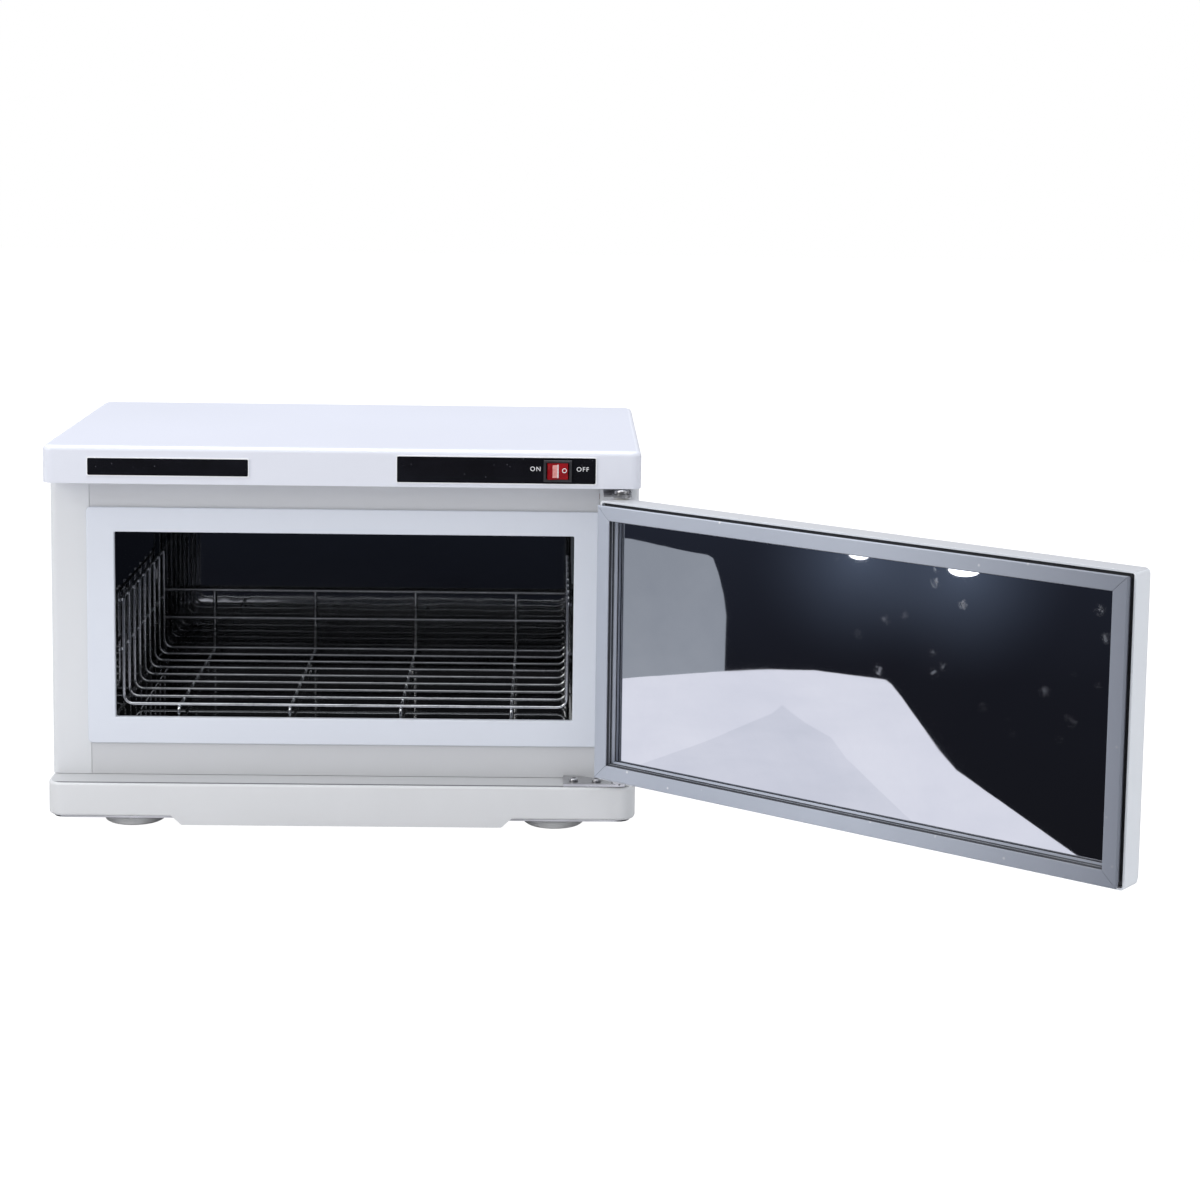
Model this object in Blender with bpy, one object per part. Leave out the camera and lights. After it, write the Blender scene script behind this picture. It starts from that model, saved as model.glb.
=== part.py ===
# Hot towel cabinet for a bench top: a heated mirror-lined chamber with a wire basket, a rocker
# switch in the lid's fascia and a side-hung door, stored with its door swung open.
# Metres, +Z up, front towards -Y. The origin is the middle of the bottom plate's underside.

import math

import bpy
import bmesh
from mathutils import Vector

# Overall sizes
cabinet_width = 0.450
cabinet_depth = 0.280
lid_height = 0.0285
body_height = 0.2308
base_height = 0.0257
foot_height = 0.0087
door_open_angle = 141.5

# Clearances
seat_gap = 0.0003
running_gap = 0.0003
cut_overrun = 0.004
weld_overlap = 0.0002

# Smoothness of round shapes
corner_steps = 4
fillet_steps = 3
round_steps = 24
small_round_steps = 12
smooth_angle = 35

front_y = -cabinet_depth / 2
back_y = cabinet_depth / 2
half_width = cabinet_width / 2

for old in list(bpy.data.objects):
    bpy.data.objects.remove(old, do_unlink=True)


# Materials

def finish(name, colour, roughness, metallic=0.0):
    made = bpy.data.materials.new(name)
    made.use_nodes = True
    shader = made.node_tree.nodes["Principled BSDF"]
    shader.inputs["Base Color"].default_value = (*colour, 1.0)
    shader.inputs["Roughness"].default_value = roughness
    shader.inputs["Metallic"].default_value = metallic
    made.diffuse_color = (*colour, 1.0)
    return made


white_plastic = finish("white_plastic", (0.80, 0.81, 0.84), 0.35)
white_enamel = finish("white_enamel", (0.76, 0.78, 0.82), 0.30)
pale_seal = finish("pale_seal", (0.50, 0.55, 0.63), 0.50)
black_plate = finish("black_plate", (0.010, 0.010, 0.013), 0.25)
dark_plastic = finish("dark_plastic", (0.035, 0.036, 0.040), 0.35)
red_plastic = finish("red_plastic", (0.48, 0.015, 0.020), 0.25)
mirror_metal = finish("mirror_metal", (0.62, 0.63, 0.66), 0.05, 1.0)
chrome_wire = finish("chrome_wire", (0.78, 0.79, 0.82), 0.12, 1.0)
zinc_steel = finish("zinc_steel", (0.55, 0.56, 0.58), 0.35, 1.0)
heater_foil = finish("heater_foil", (0.72, 0.72, 0.73), 0.40, 1.0)
mineral_wool = finish("mineral_wool", (0.62, 0.58, 0.42), 0.95)
cream_ceramic = finish("cream_ceramic", (0.78, 0.74, 0.64), 0.60)
nylon_bush = finish("nylon_bush", (0.70, 0.70, 0.66), 0.50)
brass_blade = finish("brass_blade", (0.70, 0.52, 0.22), 0.30, 1.0)
red_sleeve = finish("red_sleeve", (0.40, 0.03, 0.03), 0.55)


# Shape tools

def rounded_rectangle(low, high, radius=0.0):
    if radius <= 0:
        return [(high[0], low[1]), (high[0], high[1]), (low[0], high[1]), (low[0], low[1])]
    centres = (
        (high[0] - radius, low[1] + radius, -90),
        (high[0] - radius, high[1] - radius, 0),
        (low[0] + radius, high[1] - radius, 90),
        (low[0] + radius, low[1] + radius, 180),
    )
    points = []
    for centre_a, centre_b, start in centres:
        for step in range(corner_steps + 1):
            angle = math.radians(start + 90 * step / corner_steps)
            points.append((centre_a + radius * math.cos(angle), centre_b + radius * math.sin(angle)))
    return points


def circle(centre, radius, steps=round_steps):
    points = []
    for step in range(steps):
        angle = math.tau * step / steps
        points.append((centre[0] + radius * math.cos(angle), centre[1] + radius * math.sin(angle)))
    return points


def arc(centre, radius, start, end, steps):
    points = []
    for step in range(steps + 1):
        angle = math.radians(start + (end - start) * step / steps)
        points.append((centre[0] + radius * math.cos(angle), centre[1] + radius * math.sin(angle)))
    return points


def on_plane(points, plane, level):
    if plane == "xy":
        return [(a, b, level) for a, b in points]
    if plane == "xz":
        return [(a, level, b) for a, b in points]
    return [(level, a, b) for a, b in points]


def loft(name, loops, material, closed=False):
    # Bridges equal loops in turn. A closed loft joins the last loop to the first, like a frame.
    shape = bmesh.new()
    rings = [[shape.verts.new(point) for point in loop] for loop in loops]
    pairs = list(zip(rings, rings[1:]))
    if closed:
        pairs.append((rings[-1], rings[0]))
    for lower, upper in pairs:
        for here in range(len(lower)):
            after = (here + 1) % len(lower)
            shape.faces.new((lower[here], lower[after], upper[after], upper[here]))
    if not closed:
        shape.faces.new(rings[0])
        shape.faces.new(rings[-1])
    bmesh.ops.recalc_face_normals(shape, faces=shape.faces)
    mesh = bpy.data.meshes.new(name)
    shape.to_mesh(mesh)
    shape.free()
    mesh.materials.append(material)
    mesh.shade_smooth()
    mesh.set_sharp_from_angle(angle=math.radians(smooth_angle))
    made = bpy.data.objects.new(name, mesh)
    bpy.context.scene.collection.objects.link(made)
    return made


def prism(name, outline, plane, low, high, material):
    return loft(name, [on_plane(outline, plane, low), on_plane(outline, plane, high)], material)


def block(name, low, high, material, radius=0.0):
    outline = rounded_rectangle(low[:2], high[:2], radius)
    return prism(name, outline, "xy", low[2], high[2], material)


def turned(name, centre, profile, material, plane="xy", bored=False, steps=round_steps):
    # The profile lists radius and height along the axis; a bored piece closes on its own bore.
    loops = [on_plane(circle(centre, radius, steps), plane, height) for radius, height in profile]
    return loft(name, loops, material, closed=bored)


def keep_evaluated(piece):
    bpy.context.view_layer.update()
    evaluated = piece.evaluated_get(bpy.context.evaluated_depsgraph_get())
    mesh = bpy.data.meshes.new_from_object(evaluated)
    piece.modifiers.clear()
    piece.data = mesh
    mesh.shade_smooth()
    mesh.set_sharp_from_angle(angle=math.radians(smooth_angle))


def combine(piece, tool, operation):
    step = piece.modifiers.new(operation.lower(), "BOOLEAN")
    step.operation = operation
    step.solver = "EXACT"
    step.object = tool
    tool.hide_render = True
    tool.display_type = "WIRE"
    keep_evaluated(piece)
    bpy.data.objects.remove(tool, do_unlink=True)
    return piece


def cut(piece, tool):
    return combine(piece, tool, "DIFFERENCE")


def weld(piece, tool):
    return combine(piece, tool, "UNION")


def bent_path(corners, bend_radius, steps=2):
    # A wire's line: straight runs joined by arcs of one bend radius.
    path = [Vector(corners[0])]
    for before, corner, after in zip(corners, corners[1:], corners[2:]):
        middle = Vector(corner)
        inward = (Vector(before) - middle).normalized()
        outward = (Vector(after) - middle).normalized()
        half_angle = inward.angle(outward) / 2
        centre = middle + (inward + outward).normalized() * bend_radius / math.sin(half_angle)
        start = (middle + inward * bend_radius / math.tan(half_angle) - centre).normalized()
        finish_side = (middle + outward * bend_radius / math.tan(half_angle) - centre).normalized()
        for step in range(steps + 1):
            path.append(centre + start.slerp(finish_side, step / steps) * bend_radius)
    path.append(Vector(corners[-1]))
    return path


def wires(name, paths, radius, material, smoothness=1):
    line = bpy.data.curves.new(name, "CURVE")
    line.dimensions = "3D"
    line.bevel_depth = radius
    line.bevel_resolution = smoothness
    line.use_fill_caps = True
    line.materials.append(material)
    for path in paths:
        spline = line.splines.new("POLY")
        spline.points.add(len(path) - 1)
        for point, place in zip(spline.points, path):
            point.co = (*place, 1.0)
    bent = bpy.data.objects.new(name + "_line", line)
    bpy.context.scene.collection.objects.link(bent)
    bpy.context.view_layer.update()
    evaluated = bent.evaluated_get(bpy.context.evaluated_depsgraph_get())
    mesh = bpy.data.meshes.new_from_object(evaluated)
    bpy.data.objects.remove(bent, do_unlink=True)
    mesh.shade_smooth()
    made = bpy.data.objects.new(name, mesh)
    bpy.context.scene.collection.objects.link(made)
    return made


def fillet_profile(outer_inset, edge, radius, direction):
    # Inset and height pairs round one edge, from the wall to the face.
    pairs = []
    for step in range(1, fillet_steps + 1):
        angle = math.radians(90 * step / fillet_steps)
        inset = outer_inset + radius * (1 - math.cos(angle))
        pairs.append((inset, edge + direction * (radius * math.sin(angle) - radius)))
    return pairs


# Levels shared by the pieces, counted down from the middle of the lid's flat top
bottom_plate_thickness = 0.0012
lid_top = 0.0
lid_bottom = lid_top - lid_height
base_top = lid_bottom - body_height
base_bottom = base_top - base_height
underside = base_bottom - seat_gap - bottom_plate_thickness
panel_bottom = base_top + seat_gap
panel_top = lid_bottom - seat_gap

# Body sheet metal
sheet = 0.0008
body_inset = 0.0005
panel_setback = 0.0285
body_back_inset = 0.0040
seam_inset = 0.0305
seam_x = half_width - seam_inset
pillar_corner = 0.0050
back_return = 0.0150
panel_y = front_y + panel_setback
panel_back_y = panel_y + sheet
body_half = half_width - body_inset
body_back = back_y - body_back_inset

# Mouth of the chamber, its white trim and the mirror liner
opening_inset = 0.0496
opening_half = half_width - opening_inset
opening_rise = 0.0455
opening_drop = 0.0410
opening_bottom = base_top + opening_rise
opening_top = lid_bottom - opening_drop
trim_side = 0.0211
trim_bottom_band = 0.0204
trim_top_band = 0.0189
trim_proud = 0.0023
trim_collar_wall = 0.0012
trim_collar_depth = 0.0020
trim_outer_radius = 0.0030
trim_mouth_radius = 0.0012
trim_edge = 0.0006
liner_wall = 0.0006
liner_back_gap = 0.0275
liner_flange = 0.0080
liner_corner = 0.0040
liner_half = opening_half + trim_collar_wall + seat_gap
liner_bottom = opening_bottom - trim_collar_wall - seat_gap
liner_top = opening_top + trim_collar_wall + seat_gap
liner_back = back_y - liner_back_gap
panel_hole_gap = liner_wall + seat_gap

# Hinge
pivot_inset_x = 0.0145
pivot_setback = 0.0045
pivot_x = half_width - pivot_inset_x
pivot_y = front_y + pivot_setback
pivot_pin_radius = 0.0025
bush_bore = pivot_pin_radius + running_gap
bush_radius = 0.0042
bush_flange_radius = 0.0055
bush_flange = 0.0006
bush_length = 0.0100

# Door
door_free_inset = 0.0035
door_overhang = 0.0075
door_thickness = 0.0251
door_bottom_gap = 0.0086
door_top_gap = 0.0080
seal_height = 0.0071
seal_groove = 0.0010
door_wall = 0.0016
door_face = 0.0020
door_corner = 0.0030
door_edge_fillet = 0.0060
door_bottom = base_top + door_bottom_gap
door_top = lid_bottom - door_top_gap


# Lid

lid_wall = 0.0025
lid_corner = 0.0080
lid_fillet = 0.0040
lid_floor_depth = panel_setback + lid_wall

plate_thickness = 0.0008
plate_corner = 0.0012
name_plate_left = 0.0349
name_plate_width = 0.1199
name_plate_height = 0.0126
name_plate_rise = 0.0067
control_plate_right = 0.0345
control_plate_width = 0.1489
control_plate_height = 0.0193
control_plate_rise = 0.0038

switch_inset_x = 0.0630
switch_x = half_width - switch_inset_x
switch_z = lid_bottom + control_plate_height / 2 + control_plate_rise
switch_flange_half = 0.0106
switch_flange_half_height = 0.0082
switch_flange = 0.0016
switch_flange_edge = 0.0004
switch_body_half = 0.0096
switch_body_half_height = 0.0069
switch_body_depth = 0.0200
switch_cavity_half = 0.0087
switch_cavity_half_height = 0.0064
switch_cavity_depth = 0.0090
plate_back = front_y - seat_gap
plate_front = plate_back - plate_thickness
switch_face = plate_front - seat_gap - switch_flange


def lid_loop(inset, level):
    low = (-half_width + inset, front_y + inset)
    high = (half_width - inset, back_y - inset)
    return on_plane(rounded_rectangle(low, high, lid_corner - inset), "xy", level)


def make_lid():
    profile = [(0.0, lid_bottom), (0.0, lid_top - lid_fillet)]
    profile += fillet_profile(0.0, lid_top, lid_fillet, 1)
    lid = loft("top_cover", [lid_loop(inset, level) for inset, level in profile], white_plastic)
    pocket = loft("pocket", [
        lid_loop(lid_wall, lid_bottom + lid_wall),
        lid_loop(lid_wall, lid_top - lid_wall),
    ], white_plastic)
    cut(lid, pocket)
    mouth_radius = lid_corner - lid_wall
    mouth = rounded_rectangle(
        (-half_width + lid_wall, front_y + lid_floor_depth),
        (half_width - lid_wall, back_y - lid_wall),
        mouth_radius,
    )
    cut(lid, prism("mouth", mouth, "xy", lid_bottom - cut_overrun, lid_bottom + lid_wall + cut_overrun,
                   white_plastic))
    hole_low = (switch_x - switch_body_half - seat_gap, front_y - cut_overrun,
                switch_z - switch_body_half_height - seat_gap)
    hole_high = (switch_x + switch_body_half + seat_gap, front_y + lid_wall + cut_overrun,
                 switch_z + switch_body_half_height + seat_gap)
    cut(lid, block("switch_hole", hole_low, hole_high, white_plastic))
    return lid


def make_plates():
    name_low = (-half_width + name_plate_left, lid_bottom + name_plate_rise)
    name_high = (name_low[0] + name_plate_width, name_low[1] + name_plate_height)
    prism("name_plate", rounded_rectangle(name_low, name_high, plate_corner), "xz", plate_front,
          plate_back, black_plate)
    low_z = lid_bottom + control_plate_rise
    high_x = half_width - control_plate_right
    outer = rounded_rectangle((high_x - control_plate_width, low_z),
                              (high_x, low_z + control_plate_height), plate_corner)
    inner = rounded_rectangle(
        (switch_x - switch_body_half - seat_gap, switch_z - switch_body_half_height - seat_gap),
        (switch_x + switch_body_half + seat_gap, switch_z + switch_body_half_height + seat_gap),
        plate_thickness,
    )
    loops = [
        on_plane(outer, "xz", plate_front),
        on_plane(outer, "xz", plate_back),
        on_plane(inner, "xz", plate_back),
        on_plane(inner, "xz", plate_front),
    ]
    loft("control_plate", loops, black_plate, closed=True)


# Rocker switch

rocker_radius = 0.0083
rocker_half_height = 0.0061
rocker_tip = 0.0046
rocker_valley = 0.0032
rocker_back = 0.0030
rocker_pivot_depth = 0.0032
rocker_tilt = 10
terminal_width = 0.0048
terminal_thickness = 0.0008
terminal_length = 0.0075
terminal_pitch = 0.0065
terminal_count = 3


def switch_loop(half_a, half_b, level):
    outline = rounded_rectangle((switch_x - half_a, switch_z - half_b),
                                (switch_x + half_a, switch_z + half_b))
    return on_plane(outline, "xz", level)


def make_switch():
    face_half = switch_flange_half - switch_flange_edge
    face_half_height = switch_flange_half_height - switch_flange_edge
    loft("switch_housing", [
        switch_loop(switch_cavity_half, switch_cavity_half_height, switch_face + switch_cavity_depth),
        switch_loop(switch_cavity_half, switch_cavity_half_height, switch_face),
        switch_loop(face_half, face_half_height, switch_face),
        switch_loop(switch_flange_half, switch_flange_half_height, switch_face + switch_flange_edge),
        switch_loop(switch_flange_half, switch_flange_half_height, switch_face + switch_flange),
        switch_loop(switch_body_half, switch_body_half_height, switch_face + switch_flange),
        switch_loop(switch_body_half, switch_body_half_height, switch_face + switch_body_depth),
    ], dark_plastic)

    blade_y = switch_face + switch_body_depth + seat_gap
    for number in range(terminal_count):
        blade_x = switch_x + (number - (terminal_count - 1) / 2) * terminal_pitch
        low = (blade_x - terminal_thickness / 2, blade_y, switch_z - terminal_width / 2)
        high = (blade_x + terminal_thickness / 2, blade_y + terminal_length,
                switch_z + terminal_width / 2)
        block(f"switch_terminal_{number + 1}", low, high, brass_blade)

    tip_x = math.sqrt(rocker_radius ** 2 - rocker_tip ** 2)
    tip_angle = math.degrees(math.atan2(-rocker_tip, tip_x))
    heel_angle = math.degrees(math.asin(rocker_back / rocker_radius))
    outline = [(0.0, -rocker_valley)]
    outline += arc((0.0, 0.0), rocker_radius, tip_angle, heel_angle, corner_steps)
    outline += arc((0.0, 0.0), rocker_radius, 180 - heel_angle, 180 - tip_angle, corner_steps)
    rocker = prism("rocker", outline, "xy", -rocker_half_height, rocker_half_height, red_plastic)
    rocker.location = (switch_x, switch_face + rocker_pivot_depth, switch_z)
    rocker.rotation_euler = (0.0, 0.0, math.radians(rocker_tilt))


# Sheet-metal body

back_screw_rise = 0.0120
back_screw_inset = 0.0075
small_screw_radius = 0.0015
small_screw_hole = small_screw_radius + running_gap
small_head_radius = 0.0030
back_screw_length = 0.0052
small_head = 0.0018
head_crown_share = 0.75
head_edge_share = 0.5

bracket_screw_spread = 0.0060
upper_leaf = 0.0015
upper_leaf_half = 0.0105
upper_leaf_offset = 0.0030
upper_leaf_end = 0.0065
upper_leaf_upright = 0.0067
upper_screw_head_radius = 0.0023
upper_leaf_bottom = door_top + seat_gap + bush_flange + seat_gap
upper_leaf_centre = pivot_x - upper_leaf_offset
upper_screw_z = upper_leaf_bottom + (upper_leaf_upright + upper_leaf) / 2


def side_outline(side):
    outer = [(seam_x, panel_y)]
    outer += arc((body_half - pillar_corner, panel_y + pillar_corner), pillar_corner, -90, 0,
                 corner_steps)
    outer += arc((body_half - pillar_corner, body_back - pillar_corner), pillar_corner, 0, 90,
                 corner_steps)
    outer.append((body_half - back_return, body_back))
    inner_corner = pillar_corner - sheet
    inner = [(body_half - back_return, body_back - sheet)]
    inner += arc((body_half - pillar_corner, body_back - pillar_corner), inner_corner, 90, 0,
                 corner_steps)
    inner += arc((body_half - pillar_corner, panel_y + pillar_corner), inner_corner, 0, -90,
                 corner_steps)
    inner.append((seam_x, panel_back_y))
    return [(side * x, y) for x, y in outer + inner]


def screw_along_y(name, x, z, head_y, direction, length, head_radius, material):
    # The head lies on head_y; the shank runs on from it in the given direction.
    profile = [
        (head_radius * head_crown_share, head_y - direction * small_head),
        (head_radius, head_y - direction * small_head * head_edge_share),
        (head_radius, head_y),
        (small_screw_radius, head_y),
        (small_screw_radius, head_y + direction * length),
    ]
    return turned(name, (x, z), profile, material, plane="xz", steps=small_round_steps)


def screw_along_z(name, x, y, head_z, direction, length, head_radius, head, shank, material):
    profile = [
        (head_radius * head_crown_share, head_z - direction * head),
        (head_radius, head_z - direction * head * head_edge_share),
        (head_radius, head_z),
        (shank, head_z),
        (shank, head_z + direction * length),
    ]
    return turned(name, (x, y), profile, material, steps=small_round_steps)


def hole_along_y(x, z, radius, low, high):
    return turned("hole", (x, z), [(radius, low), (radius, high)], zinc_steel, plane="xz",
                  steps=small_round_steps)


def hole_along_z(x, y, radius, low, high):
    return turned("hole", (x, y), [(radius, low), (radius, high)], zinc_steel,
                  steps=small_round_steps)


back_panel_inner = body_back + seat_gap
back_panel_outer = back_panel_inner + sheet
back_screw_places = [
    (side * (body_half - back_screw_inset), level)
    for side in (-1, 1)
    for level in (panel_bottom + back_screw_rise, panel_top - back_screw_rise)
]
upper_screw_places = [
    (upper_leaf_centre + side * bracket_screw_spread, upper_screw_z) for side in (-1, 1)
]


def make_body():
    left = prism("left_side_panel", side_outline(-1), "xy", panel_bottom, panel_top, white_enamel)
    right = prism("right_side_panel", side_outline(1), "xy", panel_bottom, panel_top, white_enamel)
    for x, z in back_screw_places:
        panel = left if x < 0 else right
        cut(panel, hole_along_y(x, z, small_screw_hole, body_back - sheet - cut_overrun,
                                body_back + cut_overrun))
    for x, z in upper_screw_places:
        cut(right, hole_along_y(x, z, small_screw_hole, panel_y - cut_overrun,
                                panel_back_y + cut_overrun))

    front_half = seam_x - seat_gap
    mouth_low = (-liner_half - panel_hole_gap, liner_bottom - panel_hole_gap)
    mouth_high = (liner_half + panel_hole_gap, liner_top + panel_hole_gap)
    outer = rounded_rectangle((-front_half, panel_bottom), (front_half, panel_top))
    inner = rounded_rectangle(mouth_low, mouth_high)
    loft("front_panel", [
        on_plane(outer, "xz", panel_y),
        on_plane(outer, "xz", panel_back_y),
        on_plane(inner, "xz", panel_back_y),
        on_plane(inner, "xz", panel_y),
    ], white_enamel, closed=True)

    back_low = (-body_half + pillar_corner, panel_bottom)
    back_high = (body_half - pillar_corner, panel_top)
    back = prism("back_panel", rounded_rectangle(back_low, back_high), "xz", back_panel_inner,
                 back_panel_outer, white_enamel)
    for x, z in back_screw_places:
        cut(back, hole_along_y(x, z, small_screw_hole, back_panel_inner - cut_overrun,
                               back_panel_outer + cut_overrun))
    cut(back, turned("gland_hole", (gland_x, gland_z), [
        (gland_radius + seat_gap, back_panel_inner - cut_overrun),
        (gland_radius + seat_gap, back_panel_outer + cut_overrun),
    ], zinc_steel, plane="xz", steps=round_steps))
    for number, (x, z) in enumerate(back_screw_places, 1):
        screw_along_y(f"back_panel_screw_{number}", x, z, back_panel_outer + seat_gap, -1,
                      back_screw_length, small_head_radius, zinc_steel)


# Chamber

def mouth_loop(inset, radius, level):
    # Inset counts outwards from the mouth of the chamber; bands may differ top and bottom.
    share = inset / trim_side
    low = (-opening_half - inset, opening_bottom - share * trim_bottom_band)
    high = (opening_half + inset, opening_top + share * trim_top_band)
    return on_plane(rounded_rectangle(low, high, radius), "xz", level)


def collar_loop(wall, level):
    low = (-opening_half - wall, opening_bottom - wall)
    high = (opening_half + wall, opening_top + wall)
    return on_plane(rounded_rectangle(low, high, trim_mouth_radius), "xz", level)


def liner_loop(grow, radius, level):
    low = (-liner_half - grow, liner_bottom - grow)
    high = (liner_half + grow, liner_top + grow)
    return on_plane(rounded_rectangle(low, high, radius), "xz", level)


def make_chamber():
    trim_front = panel_y - trim_proud
    trim_back = panel_y - seat_gap
    loft("opening_trim", [
        mouth_loop(trim_edge, trim_mouth_radius, trim_front),
        mouth_loop(trim_side - trim_edge, trim_outer_radius, trim_front),
        mouth_loop(trim_side, trim_outer_radius, trim_front + trim_edge),
        mouth_loop(trim_side, trim_outer_radius, trim_back),
        collar_loop(trim_collar_wall, trim_back),
        collar_loop(trim_collar_wall, panel_y + trim_collar_depth),
        collar_loop(0.0, panel_y + trim_collar_depth),
        collar_loop(0.0, trim_front + trim_edge),
    ], white_plastic, closed=True)

    flange_front = panel_back_y + seat_gap
    flange_back = flange_front + liner_wall
    mouth_corner = trim_mouth_radius + seat_gap
    loft("chamber_liner", [
        liner_loop(-liner_corner, liner_corner, liner_back),
        liner_loop(0.0, liner_corner, liner_back - liner_corner),
        liner_loop(0.0, mouth_corner, flange_front),
        liner_loop(liner_flange, mouth_corner, flange_front),
        liner_loop(liner_flange, mouth_corner, flange_back),
        liner_loop(liner_wall, mouth_corner, flange_back),
        liner_loop(liner_wall, liner_corner, liner_back - liner_corner),
        liner_loop(liner_wall - liner_corner, liner_corner, liner_back + liner_wall),
    ], mirror_metal)


# Wire basket, with its floor, two sides and back fence as separate wire frames

wire_radius = 0.0013
hoop_count = 9
basket_side_gap = 0.0059
basket_half = liner_half - basket_side_gap
basket_front = 0.0400
basket_rear_gap = 0.0065
basket_floor_rise = 0.0090
basket_side = 0.0830
hoop_bend = 0.0070
hoop_reach = 0.0090
mid_rail_share = 0.52
fence_height = 0.0500
fence_rail_height = 0.0260
runner_share = (-0.75, -0.25, 0.25, 0.75)
runner_overhang = 0.0035
foot_bend = 0.0030
upturn_height = 0.0040
rear_foot_setback = 0.0400
rear_foot_radius = 0.0012
rail_overhang = 0.0030
weld_sink = 0.0005

wire_step = 2 * wire_radius - weld_sink
first_hoop_y = front_y + basket_front
last_hoop_y = liner_back - basket_rear_gap
hoop_pitch = (last_hoop_y - first_hoop_y) / (hoop_count - 1)
hoop_places = [first_hoop_y + hoop_pitch * number for number in range(hoop_count)]
floor_z = liner_bottom + basket_floor_rise
rim_z = floor_z + basket_side
runner_z = floor_z - wire_step
foot_z = liner_bottom + seat_gap
fence_y = last_hoop_y + wire_step
runner_places = [share * basket_half for share in runner_share]


def make_basket_side(name, side):
    side_x = side * basket_half
    hoop_end = side * (basket_half - hoop_reach)
    uprights = [
        bent_path([(side_x, y, rim_z), (side_x, y, floor_z), (hoop_end, y, floor_z)], hoop_bend)
        for y in hoop_places
    ]
    frame = wires(name, uprights, wire_radius, chrome_wire)
    rail_x = side * (basket_half + wire_step)
    rails = []
    for rise in (basket_side - wire_radius, basket_side * mid_rail_share):
        rails.append([
            Vector((rail_x, first_hoop_y - rail_overhang, floor_z + rise)),
            Vector((rail_x, last_hoop_y + rail_overhang, floor_z + rise)),
        ])
    weld(frame, wires("rails", rails, wire_radius, chrome_wire))


def make_basket():
    make_basket_side("basket_left_side", -1)
    make_basket_side("basket_right_side", 1)

    half = basket_half - hoop_reach - seat_gap
    floor_wires = [[Vector((-half, y, floor_z)), Vector((half, y, floor_z))] for y in hoop_places]
    floor = wires("basket_floor", floor_wires, wire_radius, chrome_wire)
    runners = []
    for x in runner_places:
        runners.append(bent_path([
            (x, first_hoop_y - runner_overhang, foot_z),
            (x, first_hoop_y - runner_overhang, runner_z),
            (x, fence_y, runner_z),
            (x, fence_y, runner_z + upturn_height),
        ], foot_bend))
    weld(floor, wires("runners", runners, wire_radius, chrome_wire))
    rear_foot_y = last_hoop_y - rear_foot_setback
    rear_feet = [[Vector((x, rear_foot_y, runner_z)), Vector((x, rear_foot_y, foot_z))]
                 for x in runner_places]
    weld(floor, wires("rear_feet", rear_feet, rear_foot_radius, chrome_wire))

    fence_low = runner_z + upturn_height + seat_gap
    fence_high = floor_z + fence_height + wire_radius
    posts = [[Vector((x, fence_y, fence_low)), Vector((x, fence_y, fence_high))]
             for x in runner_places]
    fence = wires("basket_fence", posts, wire_radius, chrome_wire)
    rail_half = basket_half - wire_radius - seat_gap
    rails = [[Vector((-rail_half, last_hoop_y, floor_z + rise)),
              Vector((rail_half, last_hoop_y, floor_z + rise))]
             for rise in (fence_height, fence_rail_height)]
    weld(fence, wires("fence_rails", rails, wire_radius, chrome_wire))


# Heating and insulation behind the liner

wool_side = 0.0170
wool_top = 0.0200
wool_rear = 0.0160
wool_floor = 0.0200
wool_margin = 0.0060
wool_corner = 0.0030
heater_side_gap = 0.0269
heater_half = liner_half - heater_side_gap
heater_front = 0.0450
heater_rear_gap = 0.0375
heater_thickness = 0.0014
heater_corner = 0.0080
thermostat_radius = 0.0080
thermostat_flange = 0.0105
thermostat_flange_height = 0.0015
thermostat_height = 0.0095
thermostat_share = 0.4
fuse_radius = 0.0021
fuse_length = 0.0120
fuse_share = -0.4
terminal_block_size = (0.0380, 0.0200, 0.0140)
terminal_block_inset = 0.0750
terminal_block_back = 0.0150
terminal_tower_width = 0.0090
terminal_tower_height = 0.0040
gland_x = half_width - terminal_block_inset
gland_rise = 0.0260
gland_z = panel_bottom + gland_rise
gland_radius = 0.0065
gland_flange_radius = 0.0095
gland_flange = 0.0022
gland_bore = 0.0036
gland_nose = 0.0060
loom_radius = 0.0022
loom_bend = 0.0060
loom_side_gap = 0.0120


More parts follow.
